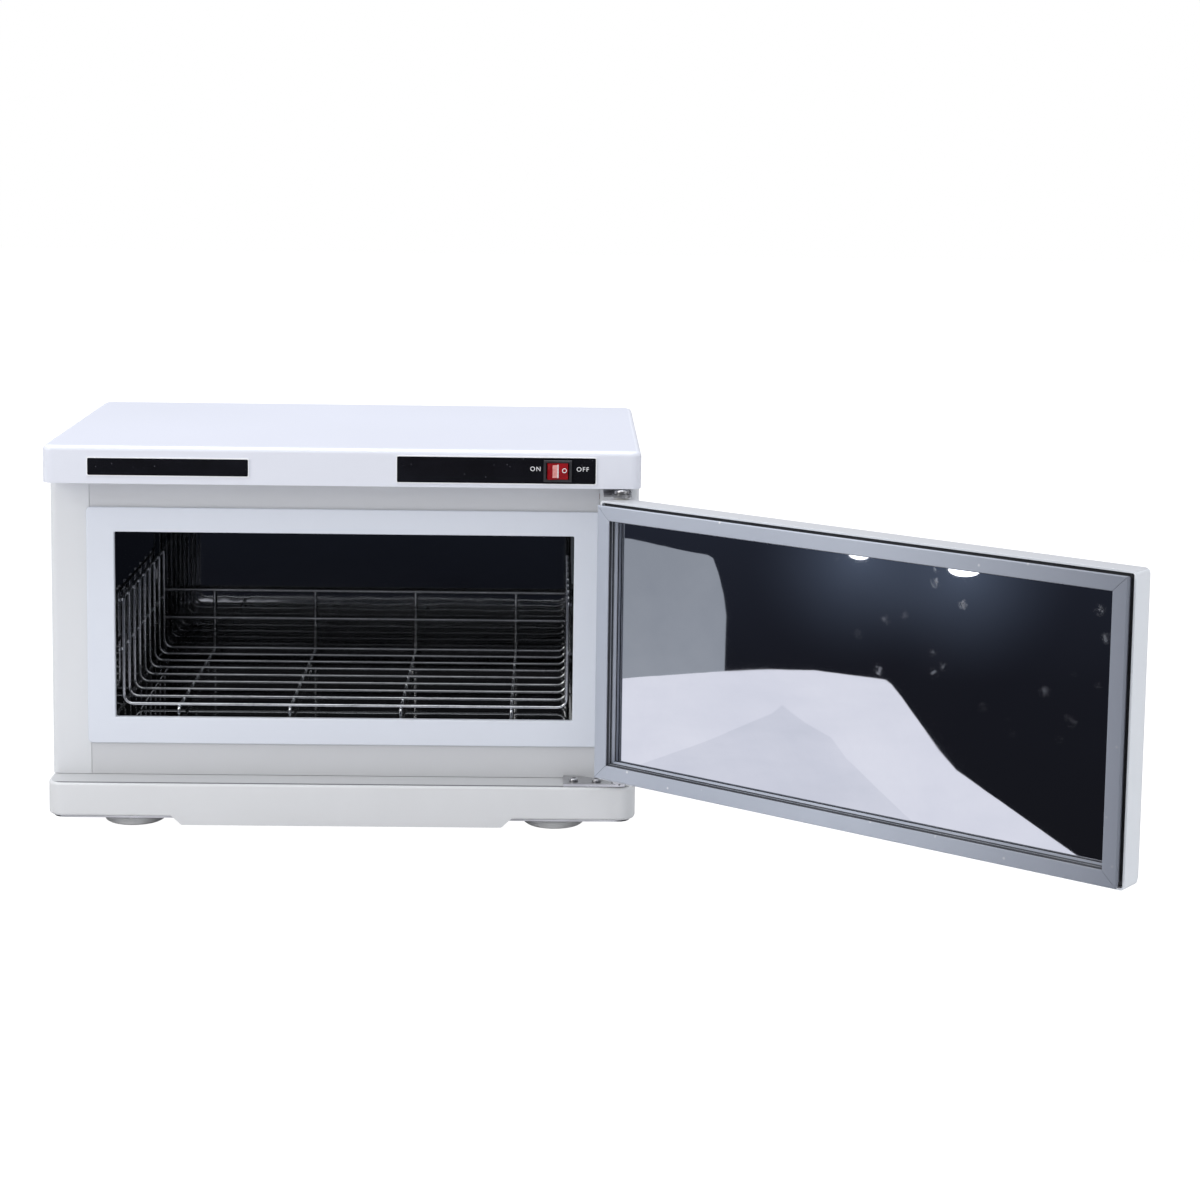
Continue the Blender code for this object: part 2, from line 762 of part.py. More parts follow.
def make_heating():
    outer_half = liner_half + liner_wall + seat_gap
    outer_bottom = liner_bottom - liner_wall - seat_gap
    outer_top = liner_top + liner_wall + seat_gap
    outer_back = liner_back + liner_wall + seat_gap
    wool_front = panel_back_y + liner_wall + wool_margin
    for side, name in ((-1, "left_insulation"), (1, "right_insulation")):
        inner_x = side * outer_half
        outer_x = side * (outer_half + wool_side)
        block(name, (min(inner_x, outer_x), wool_front, outer_bottom + wool_margin),
              (max(inner_x, outer_x), outer_back - wool_margin, outer_top - wool_margin),
              mineral_wool, wool_corner)
    block("top_insulation", (-outer_half + wool_margin, wool_front, outer_top),
          (outer_half - wool_margin, outer_back - wool_margin, outer_top + wool_top),
          mineral_wool, wool_corner)
    block("rear_insulation", (-outer_half + wool_margin, outer_back, outer_bottom + wool_margin),
          (outer_half - wool_margin, outer_back + wool_rear, outer_top - wool_margin),
          mineral_wool, wool_corner)
    floor_back = body_back - sheet - terminal_block_back - terminal_block_size[1] - wool_margin
    block("floor_insulation", (-outer_half + wool_margin, wool_front, panel_bottom),
          (outer_half - wool_margin, floor_back, panel_bottom + wool_floor), mineral_wool, wool_corner)

    heater_y = front_y + heater_front
    heater_low = (-heater_half, heater_y, outer_bottom - heater_thickness)
    heater_high = (heater_half, liner_back - heater_rear_gap, outer_bottom)
    block("heater_plate", heater_low, heater_high, heater_foil, heater_corner)

    under_heater = heater_low[2] - seat_gap
    middle_y = (heater_low[1] + heater_high[1]) / 2
    thermostat_x = thermostat_share * heater_half
    fuse_x = fuse_share * heater_half
    turned("thermostat", (thermostat_x, middle_y), [
        (thermostat_flange, under_heater),
        (thermostat_flange, under_heater - thermostat_flange_height),
        (thermostat_radius, under_heater - thermostat_flange_height),
        (thermostat_radius, under_heater - thermostat_height),
    ], cream_ceramic)
    turned("thermal_fuse", (middle_y, under_heater - fuse_radius), [
        (fuse_radius * 0.5, fuse_x - fuse_length * 0.6),
        (fuse_radius, fuse_x - fuse_length / 2),
        (fuse_radius, fuse_x + fuse_length / 2),
        (fuse_radius * 0.5, fuse_x + fuse_length * 0.6),
    ], zinc_steel, plane="yz", steps=small_round_steps)

    block_back = body_back - sheet - terminal_block_back
    low = (gland_x - terminal_block_size[0] / 2, block_back - terminal_block_size[1],
           panel_bottom)
    high = (gland_x + terminal_block_size[0] / 2, block_back,
            panel_bottom + terminal_block_size[2])
    terminals = block("terminal_block", low, high, cream_ceramic)
    for number in range(terminal_count):
        x = gland_x + (number - 1) * terminal_block_size[0] / terminal_count
        weld(terminals, block(
            "tower",
            (x - terminal_tower_width / 2, low[1] + terminal_tower_height, high[2] - weld_overlap),
            (x + terminal_tower_width / 2, high[1] - terminal_tower_height,
             high[2] + terminal_tower_height),
            cream_ceramic))

    turned("cable_gland", (gland_x, gland_z), [
        (gland_bore, back_panel_inner - gland_nose),
        (gland_radius, back_panel_inner - gland_nose),
        (gland_flange_radius, back_panel_inner - gland_flange - seat_gap),
        (gland_flange_radius, back_panel_inner - seat_gap),
        (gland_radius, back_panel_inner - seat_gap),
        (gland_radius, back_panel_outer + seat_gap),
        (gland_flange_radius, back_panel_outer + seat_gap),
        (gland_flange_radius * 0.9, back_panel_outer + seat_gap + gland_flange),
        (gland_bore, back_panel_outer + seat_gap + gland_flange),
    ], dark_plastic, plane="xz", bored=True)

    # The loom climbs between the side wool and the side panel and comes forward under the lid.
    loom_x = body_half - loom_side_gap
    start_z = panel_bottom + terminal_block_size[2] / 2
    block_middle = (low[1] + high[1]) / 2
    rise_z = panel_top - loom_side_gap
    enter_y = front_y + lid_floor_depth + loom_side_gap
    terminal_end = switch_face + switch_body_depth + seat_gap + terminal_length + seat_gap
    wires("switch_loom", [bent_path([
        (high[0] + seat_gap, block_middle, start_z),
        (loom_x, block_middle, start_z),
        (loom_x, block_middle, rise_z),
        (loom_x, enter_y, rise_z),
        (switch_x, enter_y, rise_z),
        (switch_x, enter_y, switch_z),
        (switch_x, terminal_end, switch_z),
    ], loom_bend, 3)], loom_radius, red_sleeve, 2)


# Base, bottom plate and feet

base_inset = 0.0007
base_corner = 0.0130
base_wall = 0.0030
base_ceiling = 0.0025
base_top_fillet = 0.0020
base_bottom_fillet = 0.0025
tongue_inset = 0.0910
tongue_half = half_width - tongue_inset
tongue_slope = 0.0120
tongue_foot_half = tongue_half - tongue_slope
tongue_drop = 0.0062
tongue_root = 0.0050
tongue_wall = 0.0025
tongue_recess = 0.0001
plate_inset = 0.0045
foot_inset = 0.0630
foot_x = half_width - foot_inset
foot_front = 0.0350
foot_radius = 0.0230
foot_top_radius = 0.0215
foot_edge = 0.0025
foot_bore = 0.0023
foot_counterbore = 0.0050
foot_counterbore_depth = 0.0042
foot_screw_radius = 0.0016
foot_screw_head_radius = 0.0042
foot_screw_head = 0.0026
foot_screw_length = 0.0150
boss_radius = 0.0050
foot_places = {
    "foot_front_left": (-foot_x, front_y + foot_front),
    "foot_front_right": (foot_x, front_y + foot_front),
    "foot_rear_left": (-foot_x, back_y - foot_front),
    "foot_rear_right": (foot_x, back_y - foot_front),
}

# Lower hinge bracket on the base's top
lower_leaf = 0.0020
lower_leaf_reach = 0.0415
lower_leaf_front = 0.0025
lower_leaf_back = 0.0010
lower_leaf_heel = 0.0100
lower_leaf_end = 0.0065
lower_shoulder_radius = 0.0050
lower_rivet_radius = 0.0025
lower_pin_height = 0.0095
lower_screw_radius = 0.0016
lower_screw_head_radius = 0.0036
lower_screw_head = 0.0022
lower_screw_length = 0.0080
lower_screw_far = 0.0335
lower_screw_near = 0.0160
lower_screw_far_setback = 0.0120
lower_screw_near_setback = 0.0106
lower_screw_places = [
    (pivot_x - lower_screw_far, front_y + lower_screw_far_setback),
    (pivot_x - lower_screw_near, front_y + lower_screw_near_setback),
]


def base_loop(inset, level):
    low = (-half_width + base_inset + inset, front_y + inset)
    high = (half_width - base_inset - inset, back_y - inset)
    return on_plane(rounded_rectangle(low, high, base_corner - inset), "xy", level)


def make_base():
    profile = [(base_wall, base_top - base_ceiling), (base_wall, base_bottom)]
    profile += reversed(fillet_profile(0.0, base_bottom, base_bottom_fillet, -1))
    profile += [(0.0, base_bottom + base_bottom_fillet), (0.0, base_top - base_top_fillet)]
    profile += fillet_profile(0.0, base_top, base_top_fillet, 1)
    base = loft("base_moulding", [base_loop(inset, level) for inset, level in profile],
                white_plastic)
    tongue = [
        (-tongue_foot_half, base_bottom - tongue_drop),
        (tongue_foot_half, base_bottom - tongue_drop),
        (tongue_half, base_bottom + tongue_root),
        (-tongue_half, base_bottom + tongue_root),
    ]
    weld(base, prism("tongue", tongue, "xz", front_y + tongue_recess, front_y + tongue_wall,
                     white_plastic))
    for x, y in foot_places.values():
        weld(base, turned("boss", (x, y), [(boss_radius, base_bottom),
                                           (boss_radius, base_top - 0.5 * base_ceiling)],
                          white_plastic, steps=small_round_steps))
        cut(base, hole_along_z(x, y, foot_screw_radius + running_gap, base_bottom - cut_overrun,
                               underside + foot_screw_length))
    for x, y in lower_screw_places:
        cut(base, hole_along_z(x, y, lower_screw_radius + running_gap,
                               base_top - base_ceiling - cut_overrun, base_top + cut_overrun))

    plate_low = (-half_width + plate_inset, front_y + base_wall)
    plate_high = (half_width - plate_inset, back_y - base_wall)
    plate = prism("bottom_plate", rounded_rectangle(plate_low, plate_high, base_corner - base_wall),
                  "xy", underside, underside + bottom_plate_thickness, zinc_steel)
    for x, y in foot_places.values():
        cut(plate, hole_along_z(x, y, foot_screw_radius + running_gap, underside - cut_overrun,
                                base_bottom))

    foot_top = underside - seat_gap
    foot_bottom = foot_top - foot_height
    counterbore_top = foot_bottom + foot_counterbore_depth
    for name, (x, y) in foot_places.items():
        turned(name, (x, y), [
            (foot_bore, foot_top),
            (foot_top_radius, foot_top),
            (foot_radius, foot_top - foot_height + 2 * foot_edge),
            (foot_radius, foot_bottom + foot_edge * 0.4),
            (foot_radius - foot_edge * 0.6, foot_bottom),
            (foot_counterbore, foot_bottom),
            (foot_counterbore, counterbore_top),
            (foot_bore, counterbore_top),
        ], white_plastic, bored=True)
        screw_along_z(name + "_screw", x, y, counterbore_top - seat_gap, 1, foot_screw_length,
                      foot_screw_head_radius, foot_screw_head, foot_screw_radius, zinc_steel)


# Hinge pieces on the cabinet

pivot_washer = 0.0008
pivot_washer_radius = 0.0075
pivot_head = 0.0034
pivot_head_radius = 0.0056
pivot_screw_length = 0.0125


def make_hinges():
    leaf_top = upper_leaf_bottom + upper_leaf
    leaf_back = panel_y - seat_gap
    left_x = upper_leaf_centre - upper_leaf_half
    right_x = upper_leaf_centre + upper_leaf_half
    outline = [(left_x, pivot_y), (left_x, leaf_back), (right_x, leaf_back), (right_x, pivot_y)]
    outline += arc((pivot_x, pivot_y), upper_leaf_end, 0, -180, 2 * corner_steps)
    bracket = prism("upper_hinge_bracket", outline, "xy", upper_leaf_bottom, leaf_top, zinc_steel)
    upright_low = (left_x + weld_overlap, leaf_back - upper_leaf, upper_leaf_bottom + weld_overlap)
    upright_high = (right_x - weld_overlap, leaf_back - weld_overlap,
                    upper_leaf_bottom + upper_leaf_upright)
    weld(bracket, block("upright", upright_low, upright_high, zinc_steel))
    cut(bracket, hole_along_z(pivot_x, pivot_y, bush_bore, upper_leaf_bottom - cut_overrun,
                              leaf_top + cut_overrun))
    for number, (x, z) in enumerate(upper_screw_places, 1):
        cut(bracket, hole_along_y(x, z, small_screw_hole, leaf_back - upper_leaf - cut_overrun,
                                  leaf_back + cut_overrun))
        screw_along_y(f"upper_bracket_screw_{number}", x, z, leaf_back - upper_leaf - seat_gap, 1,
                      upper_leaf + 2 * seat_gap + sheet + cut_overrun, upper_screw_head_radius,
                      zinc_steel)

    washer_bottom = leaf_top + seat_gap
    washer_top = washer_bottom + pivot_washer
    turned("pivot_washer", (pivot_x, pivot_y), [
        (bush_bore, washer_bottom),
        (pivot_washer_radius, washer_bottom),
        (pivot_washer_radius, washer_top),
        (bush_bore, washer_top),
    ], zinc_steel, bored=True)
    head_bottom = washer_top + seat_gap
    turned("upper_pivot_screw", (pivot_x, pivot_y), [
        (pivot_head_radius * 0.7, head_bottom + pivot_head),
        (pivot_head_radius, head_bottom + pivot_head * 0.5),
        (pivot_head_radius, head_bottom),
        (pivot_pin_radius, head_bottom),
        (pivot_pin_radius, head_bottom - pivot_screw_length),
    ], zinc_steel)

    leaf_low = base_top + seat_gap
    leaf_high = leaf_low + lower_leaf
    far_x = pivot_x - lower_leaf_reach
    near_y = front_y + lower_leaf_front
    rear_y = panel_y - lower_leaf_back
    outline = [(far_x, near_y), (far_x, rear_y), (far_x + lower_leaf_heel, rear_y)]
    outline += arc((pivot_x, pivot_y + lower_leaf_front), lower_leaf_end, 75, -32, corner_steps)
    outline += [(pivot_x, near_y)]
    bracket = prism("lower_hinge_bracket", outline, "xy", leaf_low, leaf_high, zinc_steel)
    shoulder_top = door_bottom - seat_gap - bush_flange - seat_gap
    weld(bracket, turned("pin", (pivot_x, pivot_y), [
        (lower_rivet_radius, leaf_high - lower_leaf / 2),
        (lower_rivet_radius, leaf_high + lower_leaf / 2),
        (lower_shoulder_radius, leaf_high + lower_leaf / 2),
        (lower_shoulder_radius, shoulder_top),
        (pivot_pin_radius, shoulder_top),
        (pivot_pin_radius, shoulder_top + lower_pin_height),
    ], zinc_steel))
    for number, (x, y) in enumerate(lower_screw_places, 1):
        cut(bracket, hole_along_z(x, y, lower_screw_radius + running_gap, leaf_low - cut_overrun,
                                  leaf_high + cut_overrun))
        screw_along_z(f"lower_bracket_screw_{number}", x, y, leaf_high + seat_gap, -1,
                      lower_screw_length, lower_screw_head_radius, lower_screw_head,
                      lower_screw_radius, zinc_steel)


# Door, drawn closed about its hinge line and then swung open

door_rim_y = panel_y - seat_gap - seal_height - pivot_y
door_front_y = door_rim_y - door_thickness
door_left = -half_width + door_free_inset - pivot_x
door_right = door_overhang
seal_inset = door_wall + seal_groove
seal_left = door_left + seal_inset
seal_right = door_right - seal_inset
seal_bottom = door_bottom + seal_inset
seal_top = door_top - seal_inset

seal_face_width = 0.0108
seal_chamfer = 0.0020
seal_rib_depth = 0.0012
seal_notch_depth = 0.0008
seal_notch_height = 0.0026
seal_notch_half = 0.0009
seal_foot_width = 0.0130
seal_foot_lip = 0.0017
seal_seat = 0.0027
retainer_depth = 0.0048
retainer_side_gap = 0.0007
retainer_ledge_width = 0.0040
retainer_ledge = 0.0015
mirror_thickness = 0.0027
foam_pivot_clearance = 0.0090


def door_loop(inset, radius, level):
    low = (door_left + inset, door_bottom + inset)
    high = (door_right - inset, door_top - inset)
    return on_plane(rounded_rectangle(low, high, radius), "xz", level)


def seal_loop(inset, rise):
    low = (seal_left + inset, seal_bottom + inset)
    high = (seal_right - inset, seal_top - inset)
    return on_plane(rounded_rectangle(low, high), "xz", door_rim_y + rise)


def make_door():
    inner_corner = door_corner - door_wall
    profile = [
        (door_wall, inner_corner, door_front_y + door_face),
        (door_wall, inner_corner, door_rim_y),
        (0.0, door_corner, door_rim_y),
        (0.0, door_corner, door_front_y + door_edge_fillet),
    ]
    for inset, level in fillet_profile(0.0, door_front_y, door_edge_fillet, -1):
        profile.append((inset, door_corner + inset, level))
    shell = loft("door_shell", [door_loop(*place) for place in profile], white_enamel)
    for level in (door_bottom, door_top):
        cut(shell, turned("bush_hole", (0.0, 0.0), [
            (bush_radius + seat_gap, level - cut_overrun),
            (bush_radius + seat_gap, level + cut_overrun),
        ], white_enamel, steps=round_steps))

    # One bellows section is carried round all four sides, with mitred corners.
    rib_step = (seal_height - seal_chamfer) / 4
    section = [
        (0.0, seat_gap),
        (0.0, seal_notch_height - seal_notch_half),
        (seal_notch_depth, seal_notch_height),
        (0.0, seal_notch_height + seal_notch_half),
        (0.0, seal_height - seal_chamfer),
        (seal_chamfer, seal_height),
        (seal_face_width, seal_height),
        (seal_face_width, seal_height - rib_step * 0.6),
        (seal_face_width - seal_rib_depth, seal_height - rib_step * 1.4),
        (seal_face_width + seal_rib_depth, seal_height - rib_step * 2.4),
        (seal_face_width - seal_rib_depth * 0.5, seal_height - rib_step * 3.4),
        (seal_face_width + seal_rib_depth * 1.4, seal_height - rib_step * 4.4),
        (seal_face_width, -seat_gap),
        (seal_foot_width, -seal_foot_lip),
        (seal_foot_width, -seal_seat),
        (seal_chamfer, -seal_seat),
        (seal_chamfer, seat_gap),
    ]
    loft("door_gasket", [seal_loop(inset, rise) for inset, rise in section], pale_seal, closed=True)

    retainer_top = -seal_seat - seat_gap
    retainer_bottom = retainer_top - retainer_depth
    ledge_top = retainer_bottom + retainer_ledge
    outer = retainer_side_gap - seal_groove
    retainer_section = [
        (outer, retainer_top),
        (seal_foot_width, retainer_top),
        (seal_foot_width, ledge_top),
        (seal_foot_width + retainer_ledge_width, ledge_top),
        (seal_foot_width + retainer_ledge_width, retainer_bottom),
        (outer, retainer_bottom),
    ]
    loft("gasket_retainer", [seal_loop(inset, rise) for inset, rise in retainer_section],
         white_plastic, closed=True)

    mirror_inset = seal_foot_width + seat_gap
    mirror_low = ledge_top + seat_gap
    loft("door_mirror_panel", [
        seal_loop(mirror_inset, mirror_low),
        seal_loop(mirror_inset, mirror_low + mirror_thickness),
    ], mirror_metal)

    foam_low = (seal_left, door_front_y + door_face + seat_gap, seal_bottom)
    foam_high = (-foam_pivot_clearance, door_rim_y + retainer_bottom - seat_gap, seal_top)
    block("door_insulation", foam_low, foam_high, mineral_wool)

    for name, wall, outward in (("lower_door_bush", door_bottom, -1), ("upper_door_bush", door_top, 1)):
        flange_in = wall + outward * seat_gap
        turned(name, (0.0, 0.0), [
            (bush_bore, flange_in + outward * bush_flange),
            (bush_flange_radius, flange_in + outward * bush_flange),
            (bush_flange_radius, flange_in),
            (bush_radius, flange_in),
            (bush_radius, flange_in - outward * bush_length),
            (bush_bore, flange_in - outward * bush_length),
        ], nylon_bush, bored=True)

    hinge_line = bpy.data.objects.new("door_hinge_line", None)
    bpy.context.scene.collection.objects.link(hinge_line)
    hinge_line.location = (pivot_x, pivot_y, 0.0)
    hinge_line.rotation_euler = (0.0, 0.0, math.radians(door_open_angle))
    names = ("door_shell", "door_gasket", "gasket_retainer", "door_mirror_panel", "door_insulation",
             "lower_door_bush", "upper_door_bush")
    for name in names:
        bpy.data.objects[name].parent = hinge_line


make_lid()
make_plates()
make_switch()
make_body()
make_chamber()
make_basket()
make_heating()
make_base()
make_hinges()
make_door()
bpy.context.view_layer.update()
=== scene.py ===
import math
import bpy
from mathutils import Matrix, Vector


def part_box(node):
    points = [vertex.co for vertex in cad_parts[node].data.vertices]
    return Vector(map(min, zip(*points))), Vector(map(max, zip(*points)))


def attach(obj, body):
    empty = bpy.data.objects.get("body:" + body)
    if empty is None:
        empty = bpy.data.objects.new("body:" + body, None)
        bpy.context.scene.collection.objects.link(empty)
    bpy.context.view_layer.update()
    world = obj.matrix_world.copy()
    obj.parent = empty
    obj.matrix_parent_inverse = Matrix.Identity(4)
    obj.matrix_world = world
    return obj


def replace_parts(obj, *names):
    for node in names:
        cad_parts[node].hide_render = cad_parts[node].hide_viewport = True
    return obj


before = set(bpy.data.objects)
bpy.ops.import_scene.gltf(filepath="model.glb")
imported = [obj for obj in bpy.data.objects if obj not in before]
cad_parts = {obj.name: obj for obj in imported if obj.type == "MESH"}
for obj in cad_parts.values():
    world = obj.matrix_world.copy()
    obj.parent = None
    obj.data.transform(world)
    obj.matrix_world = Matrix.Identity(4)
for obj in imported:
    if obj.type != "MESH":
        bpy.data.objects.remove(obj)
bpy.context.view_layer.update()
bpy.ops.object.select_all(action="DESELECT")
print("frame loaded")

# Camera and view

cameraView = {
    "place": (0.1591, -2.0766, 0.2668),
    "turn": 1.01,      # degrees towards the hinge side
    "dip": 7.15,       # degrees below level
    "roll": 0.79,
    "focal": 78.12,
    "sensor": 36,
    "shiftUp": -0.15,
    "clip": (0.05, 50),
}


def makeCamera(view):
    turn, dip, roll = (math.radians(view[key]) for key in ("turn", "dip", "roll"))
    ahead = Vector((math.sin(turn) * math.cos(dip), math.cos(turn) * math.cos(dip), -math.sin(dip)))
    flatRight = Vector((math.cos(turn), -math.sin(turn), 0))
    flatUp = flatRight.cross(ahead)
    right = math.cos(roll) * flatRight + math.sin(roll) * flatUp
    up = -math.sin(roll) * flatRight + math.cos(roll) * flatUp
    bpy.ops.object.camera_add(location=view["place"])
    camera = bpy.context.object
    camera.matrix_world = Matrix.Translation(view["place"]) @ Matrix(
        (right, up, -ahead)).transposed().to_4x4()
    camera.data.sensor_width = view["sensor"]
    camera.data.lens = view["focal"]
    camera.data.shift_y = view["shiftUp"]
    camera.data.clip_start, camera.data.clip_end = view["clip"]
    bpy.context.scene.camera = camera


makeCamera(cameraView)
bpy.context.scene.view_settings.view_transform = "Standard"
print("camera set")

# Shared surface effects, as shader node groups

effectLook = {
    "driftContrast": (0.36, 0.64),
    "speckEdge": (0.30, 0.12),      # a speck's outer and inner edge, as shares of its cell
    "hazeContrast": (0.42, 0.78),
    "bumpStrength": 0.6,
    "coatRough": 0.12,
}


def startGroup(name, inputs, outputs):
    group = bpy.data.node_groups.new(name, "ShaderNodeTree")
    for label, kind, value in inputs:
        socket = group.interface.new_socket(label, in_out="INPUT", socket_type=kind)
        if value is not None:
            socket.default_value = value
    for label, kind in outputs:
        group.interface.new_socket(label, in_out="OUTPUT", socket_type=kind)
    return group, group.nodes.new("NodeGroupInput"), group.nodes.new("NodeGroupOutput")


def addNode(tree, kind, values=(), **options):
    node = tree.nodes.new(kind)
    for key, value in options.items():
        setattr(node, key, value)
    for socket, value in dict(values).items():
        node.inputs[socket].default_value = value
    return node


def stretched(tree, source, low, high):
    ramp = addNode(tree, "ShaderNodeMapRange", {"From Min": low, "From Max": high})
    tree.links.new(source, ramp.inputs["Value"])
    return ramp.outputs["Result"]


def multiplied(tree, source, factor):
    product = addNode(tree, "ShaderNodeMath", operation="MULTIPLY")
    tree.links.new(source, product.inputs[0])
    if isinstance(factor, float):
        product.inputs[1].default_value = factor
    else:
        tree.links.new(factor, product.inputs[1])
    return product.outputs[0]


# Fine grain with a slow drift of tone, for moulded plastic and sprayed enamel
def makeGrainGroup():
    group, start, end = startGroup(
        "surfaceGrain",
        [("Vector", "NodeSocketVector", None), ("Grain", "NodeSocketFloat", 800.0),
         ("Drift", "NodeSocketFloat", 6.0)],
        [("Height", "NodeSocketFloat"), ("Tone", "NodeSocketFloat")])
    grain = addNode(group, "ShaderNodeTexNoise", {"Detail": 3.0, "Roughness": 0.55})
    drift = addNode(group, "ShaderNodeTexNoise", {"Detail": 5.0, "Roughness": 0.6})
    for node, size in ((grain, "Grain"), (drift, "Drift")):
        group.links.new(start.outputs["Vector"], node.inputs["Vector"])
        group.links.new(start.outputs[size], node.inputs["Scale"])
    group.links.new(grain.outputs["Fac"], end.inputs["Height"])
    tone = stretched(group, drift.outputs["Fac"], *effectLook["driftContrast"])
    group.links.new(tone, end.inputs["Tone"])
    return group


# Dust specks and handling marks, as one mask
def makeFilmGroup():
    group, start, end = startGroup(
        "dustFilm",
        [("Vector", "NodeSocketVector", None), ("Speck Size", "NodeSocketFloat", 300.0),
         ("Amount", "NodeSocketFloat", 0.2)],
        [("Mask", "NodeSocketFloat")])
    cells = addNode(group, "ShaderNodeTexVoronoi", {"Randomness": 1.0})
    group.links.new(start.outputs["Vector"], cells.inputs["Vector"])
    group.links.new(start.outputs["Speck Size"], cells.inputs["Scale"])
    tone = addNode(group, "ShaderNodeSeparateColor")
    group.links.new(cells.outputs["Color"], tone.inputs["Color"])
    chosen = addNode(group, "ShaderNodeMath", operation="LESS_THAN")
    group.links.new(tone.outputs["Red"], chosen.inputs[0])
    group.links.new(start.outputs["Amount"], chosen.inputs[1])
    spot = stretched(group, cells.outputs["Distance"], *effectLook["speckEdge"])
    group.links.new(multiplied(group, chosen.outputs[0], spot), end.inputs["Mask"])
    return group


# A broad patchy haze, as left by wiping
def makeHazeGroup():
    group, start, end = startGroup(
        "wipedHaze",
        [("Vector", "NodeSocketVector", None), ("Size", "NodeSocketFloat", 9.0)],
        [("Mask", "NodeSocketFloat")])
    cloud = addNode(group, "ShaderNodeTexNoise", {"Detail": 6.0, "Roughness": 0.62, "Distortion": 0.6})
    group.links.new(start.outputs["Vector"], cloud.inputs["Vector"])
    group.links.new(start.outputs["Size"], cloud.inputs["Scale"])
    mask = stretched(group, cloud.outputs["Fac"], *effectLook["hazeContrast"])
    group.links.new(mask, end.inputs["Mask"])
    return group


surfaceGrain = makeGrainGroup()
dustFilm = makeFilmGroup()
wipedHaze = makeHazeGroup()

